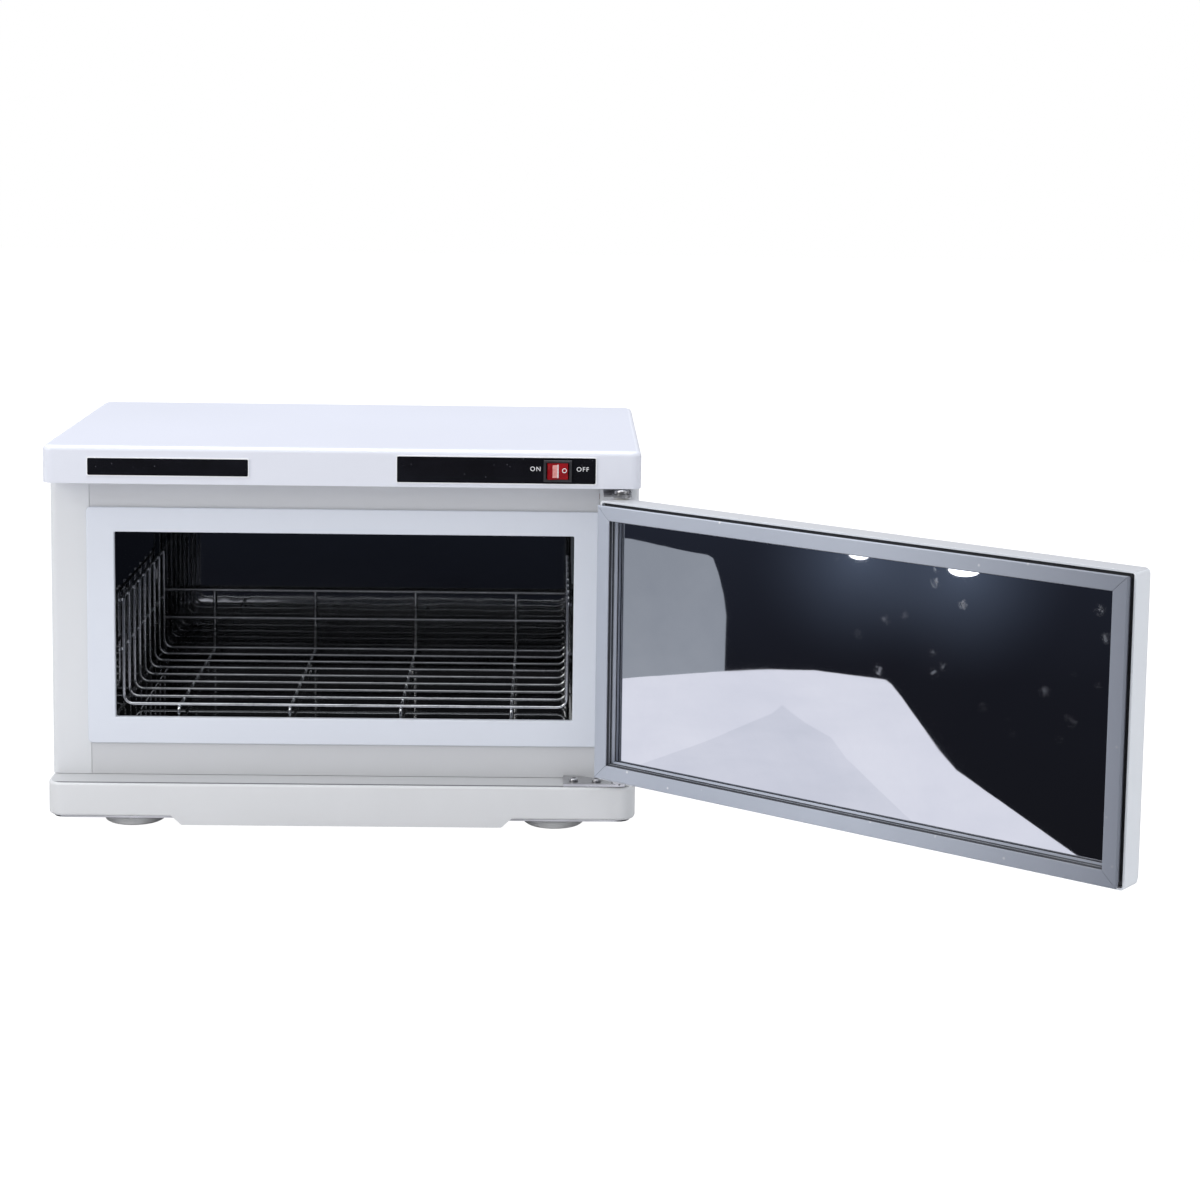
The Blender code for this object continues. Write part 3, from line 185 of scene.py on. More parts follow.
# Upward faces of the lid, base and door are darkened by a colour mixed in by facing: painted shade
finishes = {
    # The lid's bluer, lighter tone than the base's is painted light from above; both are one white plastic
    "lidMoulding": {"light": (0.770, 0.785, 0.850), "dark": (0.758, 0.773, 0.838), "rough": (0.29, 0.33),
                    "grain": 1400, "drift": 5, "relief": 0.000004,
                    "topShade": (0.675, 0.690, 0.765), "facing": (0.96, 0.995)},
    "baseMoulding": {"light": (0.730, 0.735, 0.740), "dark": (0.705, 0.710, 0.715), "rough": (0.34, 0.38),
                     "grain": 1400, "drift": 7, "relief": 0.000005,
                     "topShade": (0.56, 0.565, 0.57), "facing": (0.985, 0.995),
                     "groove": (-0.1375, -0.1345), "grooveShadow": (0.12, 0.12, 0.13)},
    "trimMoulding": {"light": (0.745, 0.775, 0.840), "dark": (0.735, 0.765, 0.830), "rough": (0.28, 0.32),
                     "grain": 1600, "drift": 6, "relief": 0.000004},
    # Side panels, front panel and door share one white enamel: the front panel's darker tone is painted
    # shade and the door's lighter, bluer tone is painted light
    "sheetEnamel": {"light": (0.745, 0.755, 0.770), "dark": (0.728, 0.738, 0.753), "rough": (0.31, 0.35),
                    "grain": 420, "drift": 5, "relief": 0.000010},
    "frontEnamel": {"light": (0.650, 0.655, 0.668), "dark": (0.635, 0.640, 0.653), "rough": (0.32, 0.37),
                    "grain": 420, "drift": 5, "relief": 0.000010},
    "doorEnamel": {"light": (0.845, 0.870, 0.900), "dark": (0.830, 0.855, 0.885), "rough": (0.28, 0.33),
                   "grain": 420, "drift": 5, "relief": 0.000010,
                   "topShade": (0.56, 0.565, 0.585), "facing": (0.5, 0.9)},
    "gasketVinyl": {"light": (0.430, 0.462, 0.530), "dark": (0.405, 0.437, 0.505), "rough": (0.42, 0.50),
                    "grain": 900, "drift": 14, "relief": 0.00003, "specks": (240, 0.03),
                    "speckColour": (0.7, 0.7, 0.72),
                    "fade": (0.38, 0.555), "fadeColour": (0.18, 0.195, 0.235)},
    "gasketShade": {"light": (0.075, 0.080, 0.095), "dark": (0.050, 0.054, 0.066), "rough": (0.55, 0.65),
                    "grain": 900, "drift": 14, "relief": 0.00002},
    "plateGloss": {"light": (0.009, 0.009, 0.012), "dark": (0.005, 0.005, 0.007), "rough": (0.10, 0.24),
                   "grain": 500, "drift": 30, "relief": 0.00002, "specks": (500, 0.05),
                   "speckColour": (0.06, 0.06, 0.07)},
    "bezelPlastic": {"light": (0.040, 0.040, 0.045), "dark": (0.022, 0.022, 0.026), "rough": (0.42, 0.58),
                     "grain": 2600, "drift": 60, "relief": 0.00008},
    "rockerRed": {"light": (0.36, 0.009, 0.014), "dark": (0.24, 0.005, 0.009), "rough": (0.14, 0.26),
                  "grain": 900, "drift": 90, "relief": 0.00003, "coat": 0.5},
    "rimWhite": {"light": (0.95, 0.955, 0.97), "dark": (0.90, 0.905, 0.92), "rough": (0.20, 0.3),
                 "grain": 1400, "drift": 20, "relief": 0.000004},
    # pink painted highlight for the rocker's band
    "glintPink": {"light": (0.86, 0.42, 0.38), "dark": (0.70, 0.24, 0.22), "rough": (0.15, 0.3),
                 "grain": 900, "drift": 420, "relief": 0.00001, "coat": 0.5},
    "markAndGlintWhite": {"light": (0.86, 0.86, 0.86), "dark": (0.72, 0.72, 0.73), "rough": (0.40, 0.55),
                  "grain": 2500, "drift": 300, "relief": 0.00002},
    "platedWire": {"light": (0.86, 0.87, 0.89), "dark": (0.62, 0.63, 0.65), "rough": (0.10, 0.22),
                   "grain": 1100, "drift": 60, "relief": 0.00003, "metal": 1.0},
    "zincPlate": {"light": (0.62, 0.62, 0.63), "dark": (0.46, 0.46, 0.47), "rough": (0.24, 0.40),
                  "grain": 700, "drift": 70, "relief": 0.00006, "metal": 1.0, "stretch": (0.25, 1, 1)},
    "brassBlade": {"light": (0.74, 0.56, 0.25), "dark": (0.60, 0.43, 0.18), "rough": (0.22, 0.36),
                   "grain": 900, "drift": 80, "relief": 0.00004, "metal": 1.0},
    "siliconeSleeve": {"light": (0.42, 0.035, 0.030), "dark": (0.30, 0.020, 0.020), "rough": (0.45, 0.6),
                       "grain": 2200, "drift": 90, "relief": 0.00008},
    "mineralWool": {"light": (0.70, 0.65, 0.45), "dark": (0.47, 0.42, 0.27), "rough": (0.85, 0.97),
                    "grain": 700, "drift": 90, "relief": 0.0006, "stretch": (1, 1, 3)},
    "heaterFoil": {"light": (0.80, 0.80, 0.81), "dark": (0.62, 0.62, 0.63), "rough": (0.20, 0.42),
                   "grain": 160, "drift": 40, "relief": 0.0002, "metal": 1.0},
    "creamCeramic": {"light": (0.80, 0.76, 0.66), "dark": (0.70, 0.65, 0.55), "rough": (0.50, 0.70),
                     "grain": 2400, "drift": 70, "relief": 0.00006},
    "nylonBush": {"light": (0.72, 0.72, 0.68), "dark": (0.64, 0.64, 0.60), "rough": (0.35, 0.5),
                  "grain": 1800, "drift": 70, "relief": 0.00004},
    "footPad": {"light": (0.90, 0.905, 0.91), "dark": (0.84, 0.845, 0.85), "rough": (0.45, 0.6),
                "grain": 1500, "drift": 30, "relief": 0.00008},
}


def mixColours(material, mask, first, second):
    mix = addNode(material.node_tree, "ShaderNodeMix", data_type="RGBA")
    for socket, colour in ((mix.inputs[6], first), (mix.inputs[7], second)):
        if isinstance(colour, tuple):
            socket.default_value = (*colour, 1)
        else:
            material.node_tree.links.new(colour, socket)
    material.node_tree.links.new(mask, mix.inputs[0])
    return mix.outputs[2]


def placedGroup(material, tree, coords, values):
    node = addNode(material.node_tree, "ShaderNodeGroup", values, node_tree=tree)
    material.node_tree.links.new(coords, node.inputs["Vector"])
    return node


def makeFinish(name, look):
    material = bpy.data.materials.new(name)
    material.use_nodes = True
    tree = material.node_tree
    shader = tree.nodes["Principled BSDF"]
    coords = addNode(tree, "ShaderNodeTexCoord")
    mapping = addNode(tree, "ShaderNodeMapping", {"Scale": look.get("stretch", (1, 1, 1))})
    tree.links.new(coords.outputs["Object"], mapping.inputs["Vector"])
    grain = placedGroup(material, surfaceGrain, mapping.outputs["Vector"],
                        {"Grain": look["grain"], "Drift": look["drift"]})
    colour = mixColours(material, grain.outputs["Tone"], look["dark"], look["light"])
    if "specks" in look:
        size, amount = look["specks"]
        film = placedGroup(material, dustFilm, coords.outputs["Object"],
                           {"Speck Size": size, "Amount": amount})
        colour = mixColours(material, film.outputs["Mask"], colour, look["speckColour"])
    if "fade" in look:   # darker towards the door's free end
        place = addNode(tree, "ShaderNodeSeparateXYZ")
        tree.links.new(coords.outputs["Object"], place.inputs["Vector"])
        fade = stretched(tree, place.outputs["X"], *look["fade"])
        colour = mixColours(material, fade, colour, look["fadeColour"])
    if "topShade" in look:   # upward faces get painted shade, with a painted shadow line where a groove is given
        surface = addNode(tree, "ShaderNodeNewGeometry")
        facing = addNode(tree, "ShaderNodeSeparateXYZ")
        tree.links.new(surface.outputs["True Normal"], facing.inputs["Vector"])
        upward = stretched(tree, facing.outputs["Z"], *look["facing"])
        topShade = look["topShade"]
        # the dark line along the base's groove is a painted shadow in the gap
        if "groove" in look:
            place = addNode(tree, "ShaderNodeSeparateXYZ")
            tree.links.new(coords.outputs["Object"], place.inputs["Vector"])
            middle, half = sum(look["groove"]) / 2, (look["groove"][1] - look["groove"][0]) / 2
            line = addNode(tree, "ShaderNodeMath", {1: middle, 2: half}, operation="COMPARE")
            tree.links.new(place.outputs["Y"], line.inputs[0])
            topShade = mixColours(material, line.outputs[0], topShade, look["grooveShadow"])
        colour = mixColours(material, upward, colour, topShade)
    tree.links.new(colour, shader.inputs["Base Color"])
    rough = addNode(tree, "ShaderNodeMapRange",
                    {"To Min": look["rough"][1], "To Max": look["rough"][0]})
    tree.links.new(grain.outputs["Tone"], rough.inputs["Value"])
    tree.links.new(rough.outputs["Result"], shader.inputs["Roughness"])
    bump = addNode(tree, "ShaderNodeBump",
                   {"Strength": effectLook["bumpStrength"], "Distance": look["relief"]})
    tree.links.new(grain.outputs["Height"], bump.inputs["Height"])
    tree.links.new(bump.outputs["Normal"], shader.inputs["Normal"])
    shader.inputs["Metallic"].default_value = look.get("metal", 0.0)
    shader.inputs["Coat Weight"].default_value = look.get("coat", 0.0)
    shader.inputs["Coat Roughness"].default_value = effectLook["coatRough"]
    return material


finish = {name: makeFinish(name, look) for name, look in finishes.items()}

# Polished sheets: the door's inner panel and the chamber's liner

mirrorLook = {
    "polish": (0.66, 0.67, 0.70),
    "haze": (0.52, 0.54, 0.60),
    "smudge": (0.42, 0.45, 0.52),
    "roughClean": 0.012,
    "roughHaze": 0.06,
    "hazeSize": 7.0,
    "hazeShare": 0.35,
    "smudgeSize": 62.0,
    "smudgeAmount": 0.46,
    "smudgeStrength": 0.55,
    "smudgeRough": 0.5,
    "smudgeMetal": 0.86,
    "breakSize": 420.0,      # fine noise that breaks the marks up
    "breakContrast": (0.38, 0.62),
    "wave": 0.00006,
    "waveStrength": 0.5,
    "waveSize": 11.0,
}


def makeMirror(name, look, smudged):
    material = bpy.data.materials.new(name)
    material.use_nodes = True
    tree = material.node_tree
    shader = tree.nodes["Principled BSDF"]
    coords = addNode(tree, "ShaderNodeTexCoord")
    haze = placedGroup(material, wipedHaze, coords.outputs["Object"], {"Size": look["hazeSize"]})
    faint = multiplied(tree, haze.outputs["Mask"], look["hazeShare"])
    colour = mixColours(material, faint, look["polish"], look["haze"])
    rough = addNode(tree, "ShaderNodeMapRange",
                    {"To Min": look["roughClean"], "To Max": look["roughHaze"]})
    tree.links.new(faint, rough.inputs["Value"])
    roughness = rough.outputs["Result"]
    if smudged:
        marks = placedGroup(material, dustFilm, coords.outputs["Object"],
                            {"Speck Size": look["smudgeSize"], "Amount": look["smudgeAmount"]})
        broken = addNode(tree, "ShaderNodeTexNoise", {"Scale": look["breakSize"], "Detail": 4.0})
        tree.links.new(coords.outputs["Object"], broken.inputs["Vector"])
        area = addNode(tree, "ShaderNodeSeparateXYZ")
        tree.links.new(coords.outputs["Object"], area.inputs["Vector"])
        mask = marks.outputs["Mask"]
        for source, key in ((broken.outputs["Fac"], "breakContrast"), (area.outputs["X"], "smudgeAcross"),
                            (area.outputs["Z"], "smudgeUp")):
            mask = multiplied(tree, mask, stretched(tree, source, *look[key]))
        mask = multiplied(tree, mask, look["smudgeStrength"])
        colour = mixColours(material, mask, colour, look["smudge"])
        total = addNode(tree, "ShaderNodeMath", operation="ADD")
        tree.links.new(roughness, total.inputs[0])
        tree.links.new(multiplied(tree, mask, look["smudgeRough"]), total.inputs[1])
        roughness = total.outputs[0]
        metal = addNode(tree, "ShaderNodeMapRange", {"To Min": 1.0, "To Max": look["smudgeMetal"]})
        tree.links.new(mask, metal.inputs["Value"])
        tree.links.new(metal.outputs["Result"], shader.inputs["Metallic"])
    else:
        shader.inputs["Metallic"].default_value = 1.0
    tree.links.new(colour, shader.inputs["Base Color"])
    tree.links.new(roughness, shader.inputs["Roughness"])
    wave = placedGroup(material, surfaceGrain, coords.outputs["Object"], {"Grain": look["waveSize"]})
    bump = addNode(tree, "ShaderNodeBump", {"Strength": look["waveStrength"], "Distance": look["wave"]})
    tree.links.new(wave.outputs["Height"], bump.inputs["Height"])
    tree.links.new(bump.outputs["Normal"], shader.inputs["Normal"])
    return material


panelLook = dict(mirrorLook, smudgeAcross=(0.34, 0.40), smudgeUp=(-0.165, -0.115))
# The liner is given a far darker polish than the door's panel, as painted shade inside the chamber
linerLook = dict(mirrorLook, polish=(0.28, 0.285, 0.29), haze=(0.20, 0.20, 0.205), roughClean=0.03,
                 roughHaze=0.14, wave=0.0004)
finish["doorMirror"] = makeMirror("doorMirror", panelLook, True)
finish["linerMirror"] = makeMirror("linerMirror", linerLook, False)
print("materials made")

# Which finish each CAD node takes, by the first of these that its name holds

nodeFinish = {
    "screw": "zincPlate", "insulation": "mineralWool", "top_cover": "lidMoulding",
    "base_moulding": "baseMoulding", "opening_trim": "trimMoulding", "side_panel": "sheetEnamel",
    "front_panel": "frontEnamel", "back_panel": "sheetEnamel", "door_shell": "doorEnamel",
    "door_gasket": "gasketVinyl", "gasket_retainer": "bezelPlastic", "door_mirror_panel": "doorMirror",
    "chamber_liner": "linerMirror", "basket_": "platedWire", "name_plate": "plateGloss",
    "control_plate": "plateGloss", "switch_housing": "bezelPlastic", "rocker": "rockerRed",
    "switch_terminal": "brassBlade", "switch_loom": "siliconeSleeve", "heater_plate": "heaterFoil",
    "thermostat": "creamCeramic", "terminal_block": "creamCeramic", "thermal_fuse": "zincPlate",
    "bottom_plate": "zincPlate", "cable_gland": "bezelPlastic", "foot_": "footPad",
    "door_bush": "nylonBush", "hinge_bracket": "zincPlate", "pivot_washer": "zincPlate",
}


def finishFor(name):
    return finish[next(nodeFinish[part] for part in nodeFinish if part in name)]


for name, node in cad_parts.items():
    node.data.materials.clear()
    node.data.materials.append(finishFor(name))
print("CAD nodes dressed")

# Modelling helpers

meshLook = {
    "facetGap": 0.00001,      # CAD corners nearer than this are one
    "facetAngle": 0.4,        # CAD facets flatter than this, in degrees, are one face
    "weldGap": 0.000002,      # as facetGap, for a piece modelled here
    "bevelAngle": 40,
    "bevelSteps": 2,
    "smoothAngle": 35,
    "squareShare": 0.9,       # least rise of an end face's normal
}


def selectOnly(piece):
    bpy.ops.object.select_all(action="DESELECT")
    piece.select_set(True)
    bpy.context.view_layer.objects.active = piece


def freshen(piece, smoothAngle, bevelWidth=0.0):
    selectOnly(piece)
    if bevelWidth:
        edges = piece.modifiers.new("softEdges", "BEVEL")
        edges.width = bevelWidth
        edges.segments = meshLook["bevelSteps"]
        edges.limit_method = "ANGLE"
        edges.angle_limit = math.radians(meshLook["bevelAngle"])
        edges.use_clamp_overlap = True
        bpy.ops.object.modifier_apply(modifier="softEdges")
    bpy.ops.object.shade_smooth_by_angle(angle=math.radians(smoothAngle))
    weighted = piece.modifiers.new("faceShade", "WEIGHTED_NORMAL")
    weighted.keep_sharp = True
    bpy.ops.object.modifier_apply(modifier="faceShade")


# A merged and smoothed copy that stands for a CAD node
def refine(nodeName, pieceName, body, smoothAngle, bevelWidth):
    selectOnly(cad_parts[nodeName])
    bpy.ops.object.duplicate()
    piece = bpy.context.object
    for key in list(piece.keys()):
        del piece[key]
    piece.parent = None
    piece.name = pieceName
    bpy.ops.object.mode_set(mode="EDIT")
    bpy.ops.mesh.select_all(action="SELECT")
    bpy.ops.mesh.remove_doubles(threshold=meshLook["facetGap"])
    bpy.ops.mesh.dissolve_limited(angle_limit=math.radians(meshLook["facetAngle"]))
    bpy.ops.object.mode_set(mode="OBJECT")
    freshen(piece, smoothAngle, bevelWidth)
    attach(piece, body)
    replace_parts(piece, nodeName)
    return piece


def settle(piece):
    selectOnly(piece)
    bpy.ops.object.transform_apply(location=True, rotation=True, scale=True)


def fixNormals(piece):
    selectOnly(piece)
    bpy.ops.object.mode_set(mode="EDIT")
    bpy.ops.mesh.select_all(action="SELECT")
    bpy.ops.mesh.remove_doubles(threshold=meshLook["weldGap"])
    bpy.ops.mesh.normals_make_consistent(inside=False)
    bpy.ops.object.mode_set(mode="OBJECT")


def pickEnd(piece, upward):
    bpy.ops.object.mode_set(mode="EDIT")
    bpy.ops.mesh.select_mode(type="FACE")
    bpy.ops.mesh.select_all(action="DESELECT")
    bpy.ops.object.mode_set(mode="OBJECT")
    for face in piece.data.polygons:
        face.select = upward * face.normal.z > meshLook["squareShare"]
    bpy.ops.object.mode_set(mode="EDIT")


refinedPieces = [   # CAD node, piece, body, slot, smoothing angle, width of the softened edges
    ("top_cover", "lidShell", "cabinet", "white_plastic", 35, 0.0003),
    ("base_moulding", "baseShell", "cabinet", "white_plastic", 35, 0.0003),
    ("opening_trim", "openingFrame", "cabinet", "white_plastic", 35, 0.0),
    ("left_side_panel", "leftSideSheet", "cabinet", "white_enamel", 35, 0.0),
    ("right_side_panel", "rightSideSheet", "cabinet", "white_enamel", 35, 0.0),
    ("door_shell", "doorTray", "door", "white_enamel", 35, 0.0003),
    ("chamber_liner", "chamberTub", "cabinet", "mirror_liner", 35, 0.0),
    ("foot_front_left", "footFrontLeft", "cabinet", "foot_plastic", 40, 0.0),
    ("foot_front_right", "footFrontRight", "cabinet", "foot_plastic", 40, 0.0),
    ("foot_rear_left", "footRearLeft", "cabinet", "foot_plastic", 40, 0.0),
    ("foot_rear_right", "footRearRight", "cabinet", "foot_plastic", 40, 0.0),
]
for nodeName, pieceName, body, slot, angle, width in refinedPieces:
    refine(nodeName, pieceName, body, angle, width)
print("shells refined")

# The door is modelled closed, about its hinge line, and then swung open

doorSwing = {
    "hinge": (0.2105, -0.1355, 0.0),
    "angle": 141.5,
    "rimY": 0.0166,        # depth of the tray's rim, before the swing
    "sealLow": (-0.4294, -0.2481),
    "sealHigh": (0.0049, -0.0391),
}


def swingOpen(piece):
    piece.rotation_euler = (0, 0, math.radians(doorSwing["angle"]))
    piece.location = doorSwing["hinge"]
    settle(piece)


gasketLook = {
    # inset from the outer edge and rise above the tray's rim, walked once round the section
    "section": [
        (0.0022, 0.0006), (0.0022, 0.0022), (0.0006, 0.0028), (0.0006, 0.0044), (0.0020, 0.0049),
        (0.0020, 0.0054), (0.0, 0.0058), (0.0, 0.0064), (0.0007, 0.0071), (0.0098, 0.0071),
        (0.0108, 0.0066), (0.0108, 0.0056), (0.0090, 0.0048), (0.0090, 0.0043), (0.0117, 0.0036),
        (0.0117, 0.0029), (0.0097, 0.0023), (0.0097, 0.0017), (0.0121, 0.0009), (0.0116, 0.0002),
        (0.0128, -0.0015), (0.0128, -0.0026), (0.0024, -0.0026), (0.0024, 0.0005),
    ],
    "mitreGap": 0.00015,
    "grooves": (0.0088, 0.0112, 0.0056),   # dark between the inner ribs: inset from, to, and rise below
    "smooth": 30,
}


# One straight run of the section, cut at 45 degrees at both ends
def gasketRun(length, look):
    section = look["section"]
    bpy.ops.mesh.primitive_circle_add(vertices=len(section), fill_type="NGON")
    run = bpy.context.object
    for vertex, (inset, rise) in zip(run.data.vertices, section):
        vertex.co = (0, rise, inset)
    bpy.ops.object.mode_set(mode="EDIT")
    bpy.ops.mesh.select_all(action="SELECT")
    bpy.ops.mesh.extrude_region_move(TRANSFORM_OT_translate={"value": (length, 0, 0)})
    for across, away in ((0, 1), (length, -1)):
        bpy.ops.mesh.select_all(action="SELECT")
        bpy.ops.mesh.bisect(plane_co=(across + away * look["mitreGap"], 0, 0),
                            plane_no=(-away, 0, 1), clear_outer=True, use_fill=True)
    bpy.ops.object.mode_set(mode="OBJECT")
    fixNormals(run)
    for name in ("gasketVinyl", "gasketShade"):
        run.data.materials.append(finish[name])
    near, far, below = look["grooves"]
    for face in run.data.polygons:
        if near < face.center.z < far and face.center.y < below:
            face.material_index = 1
    return run


def makeGasket(look):
    low, high = doorSwing["sealLow"], doorSwing["sealHigh"]
    wide, tall = high[0] - low[0], high[1] - low[1]
    places = [   # length, turn about the depth axis, corner where the run starts
        (wide, 0, (low[0], low[1])), (tall, -90, (high[0], low[1])),
        (wide, 180, (high[0], high[1])), (tall, 90, (low[0], high[1])),
    ]
    runs = []
    for length, turn, corner in places:
        run = gasketRun(length, look)
        run.rotation_euler = (0, math.radians(turn), 0)
        run.location = (corner[0], doorSwing["rimY"], corner[1])
        settle(run)
        freshen(run, look["smooth"])
        runs.append(run)
    bpy.ops.object.select_all(action="DESELECT")
    for run in runs:
        run.select_set(True)
    bpy.context.view_layer.objects.active = runs[0]
    bpy.ops.object.join()
    gasket = bpy.context.object
    gasket.name = "doorSealRing"
    swingOpen(gasket)
    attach(gasket, "door")
    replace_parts(gasket, "door_gasket")


makeGasket(gasketLook)
print("gasket made")

# Wire basket, bent and welded round wire

basketLook = {
    "wire": 0.0013,       # radius
    "roundness": 3,
    "smooth": 50,
    "half": 0.1710,
    "firstY": -0.1000,
    "lastY": 0.1060,
    "hoops": 9,
    "floorZ": -0.2063,
    "side": 0.0830,
    "bend": 0.0070,
    "bendSteps": 6,
    "reach": 0.0090,
    "midShare": 0.52,
    "fence": (0.0500, 0.0260),
    "runnerShare": (-0.75, -0.25, 0.25, 0.75),
    "runnerOverhang": 0.0035,
    "railOverhang": 0.0030,
    "footZ": -0.2150,
    "rearFootBack": 0.0400,
    "turnUp": 0.0040,     # the runners' hind ends, below the fence
    "turnBend": 0.0018,
    "turnSteps": 4,
    "postFoot": 0.0043,
    "step": 0.0021,       # two wires sunk into each other at a weld
}


def roundedPath(corners, radius, steps):
    corners = [Vector(corner) for corner in corners]
    path = [corners[0]]
    for before, corner, after in zip(corners, corners[1:], corners[2:]):
        into, out = (before - corner).normalized(), (after - corner).normalized()
        half = into.angle(out) / 2
        reach = radius / math.tan(half)
        start, end = corner + into * reach, corner + out * reach
        centre = corner + (into + out).normalized() * (radius / math.sin(half))
        first, last = start - centre, end - centre
        swing = first.angle(last)
        for step in range(steps + 1):
            share = step / steps
            path.append(centre + (first * math.sin((1 - share) * swing)
                                  + last * math.sin(share * swing)) / math.sin(swing))
    path.append(corners[-1])
    return path


def bendWires(name, paths, look):
    bpy.ops.curve.primitive_bezier_curve_add(location=(0, 0, 0))
    wire = bpy.context.object
    wire.name = name
    wire.data.splines.clear()
    for path in paths:
        spline = wire.data.splines.new("POLY")
        spline.points.add(len(path) - 1)
        for point, place in zip(spline.points, path):
            point.co = (*place, 1)
    wire.data.bevel_depth = look["wire"]
    wire.data.bevel_resolution = look["roundness"]
    wire.data.use_fill_caps = True
    selectOnly(wire)
    bpy.ops.object.convert(target="MESH")
    wire = bpy.context.object
    bpy.ops.object.shade_smooth_by_angle(angle=math.radians(look["smooth"]))
    wire.data.materials.clear()
    wire.data.materials.append(finish["platedWire"])
    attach(wire, "cabinet")
    return wire


def makeBasket(look):
    pitch = (look["lastY"] - look["firstY"]) / (look["hoops"] - 1)
    hoopY = [look["firstY"] + pitch * number for number in range(look["hoops"])]
    floorZ, rim, half, step = look["floorZ"], look["floorZ"] + look["side"], look["half"], look["step"]
    runnerZ, fenceY = floorZ - step, look["lastY"] + step
    for side, name, node in ((-1, "basketLeftSide", "basket_left_side"),
                             (1, "basketRightSide", "basket_right_side")):
        reach = side * (half - look["reach"])
        paths = [roundedPath([(side * half, y, rim), (side * half, y, floorZ), (reach, y, floorZ)],
                             look["bend"], look["bendSteps"]) for y in hoopY]
        railX = side * (half + step)
        for rise in (look["side"] - look["wire"], look["side"] * look["midShare"]):
            paths.append([Vector((railX, look["firstY"] - look["railOverhang"], floorZ + rise)),
                          Vector((railX, look["lastY"] + look["railOverhang"], floorZ + rise))])
        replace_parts(bendWires(name, paths, look), node)
    inner = half - look["reach"]
    floorPaths = [[Vector((-inner, y, floorZ)), Vector((inner, y, floorZ))] for y in hoopY]
    runnerX = [share * half for share in look["runnerShare"]]
    frontY = look["firstY"] - look["runnerOverhang"]
    rearY = look["lastY"] - look["rearFootBack"]
    for x in runnerX:
        corners = [(x, frontY, look["footZ"]), (x, frontY, runnerZ),
                   (x, fenceY, runnerZ), (x, fenceY, runnerZ + look["turnUp"])]
        floorPaths.append(roundedPath(corners, look["turnBend"], look["turnSteps"]))
        floorPaths.append([Vector((x, rearY, runnerZ)), Vector((x, rearY, look["footZ"]))])
    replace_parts(bendWires("basketFloor", floorPaths, look), "basket_floor")
    fencePaths = [[Vector((x, fenceY, runnerZ + look["postFoot"])),
                   Vector((x, fenceY, floorZ + look["fence"][0] + look["wire"]))] for x in runnerX]
    railHalf = half - look["wire"]
    fencePaths += [[Vector((-railHalf, look["lastY"], floorZ + rise)),
                    Vector((railHalf, look["lastY"], floorZ + rise))] for rise in look["fence"]]
    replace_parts(bendWires("basketFence", fencePaths, look), "basket_fence")


makeBasket(basketLook)
print("basket made")

# Cross-head screws

screwLook = {
    "head": 0.0036, "height": 0.0022, "slotWide": 0.0009, "slotLong": 0.0040, "slotDeep": 0.0014,
    "sides": 32, "domeShare": 0.6, "domeSteps": 5,
    "shankShare": 0.45, "shankMost": 0.0025, "endShare": 0.4,
    "smooth": 32,
}
smallScrew = dict(screwLook, head=0.0032, height=0.0018, slotLong=0.0036)
pivotScrew = dict(screwLook, head=0.0056, height=0.0034, slotLong=0.0066, slotWide=0.0014, slotDeep=0.0020)

screwGroups = [   # name, CAD nodes, axis and sign of the heads' direction, look, turn of each cross
    ("lowerBracketScrew", ["lower_bracket_screw_1", "lower_bracket_screw_2"], 2, 1, screwLook, (20, 50)),
    ("backPanelScrew", [f"back_panel_screw_{number}" for number in (1, 2, 3, 4)], 1, 1,
     smallScrew, (10, 65, 33, 80)),
    ("upperBracketScrew", ["upper_bracket_screw_1", "upper_bracket_screw_2"], 1, -1,
     smallScrew, (15, 70)),
    ("upperPivotScrew", ["upper_pivot_screw"], 2, 1, pivotScrew, (38,)),
]


# Head pointing along +Z with its seat at the origin, the shank below it
def makeScrew(look, shank, length):
    bpy.ops.mesh.primitive_cylinder_add(vertices=look["sides"], radius=look["head"],
                                        depth=look["height"], location=(0, 0, look["height"] / 2))
    screw = bpy.context.object
    pickEnd(screw, 1)
    bpy.ops.mesh.bevel(offset=look["height"] * look["domeShare"], segments=look["domeSteps"],
                       affect="EDGES")
    pickEnd(screw, -1)
    bpy.ops.mesh.inset(thickness=look["head"] - shank)
    bpy.ops.mesh.extrude_region_move(TRANSFORM_OT_translate={"value": (0, 0, -length)})
    bpy.ops.mesh.bevel(offset=shank * look["endShare"], segments=meshLook["bevelSteps"], affect="EDGES")
    bpy.ops.object.mode_set(mode="OBJECT")
    settle(screw)
    for turn in (0, 90):
        bpy.ops.mesh.primitive_cube_add(size=1, location=(0, 0, look["height"]))
        slot = bpy.context.object
        slot.scale = (look["slotLong"], look["slotWide"], 2 * look["slotDeep"])
        slot.rotation_euler = (0, 0, math.radians(turn))
        settle(slot)
        cutter = screw.modifiers.new("recess", "BOOLEAN")
        cutter.operation = "DIFFERENCE"
        cutter.solver = "EXACT"
        cutter.object = slot
        selectOnly(screw)
        bpy.ops.object.modifier_apply(modifier="recess")
        bpy.data.objects.remove(slot)
    selectOnly(screw)
    bpy.ops.object.shade_smooth_by_angle(angle=math.radians(look["smooth"]))
    screw.data.materials.clear()
    screw.data.materials.append(finish["zincPlate"])
    return screw


def placeScrew(screw, node, name, direction, place, twist, body):
    selectOnly(screw)
    bpy.ops.object.duplicate()
    copy = bpy.context.object
    copy.name = name
    copy.rotation_mode = "QUATERNION"
    turn = Vector((0, 0, 1)).rotation_difference(Vector(direction))
    spin = Matrix.Rotation(math.radians(twist), 4, Vector((0, 0, 1))).to_quaternion()
    copy.rotation_quaternion = turn @ spin
    copy.location = place
    settle(copy)
    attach(copy, body)
    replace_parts(copy, node)


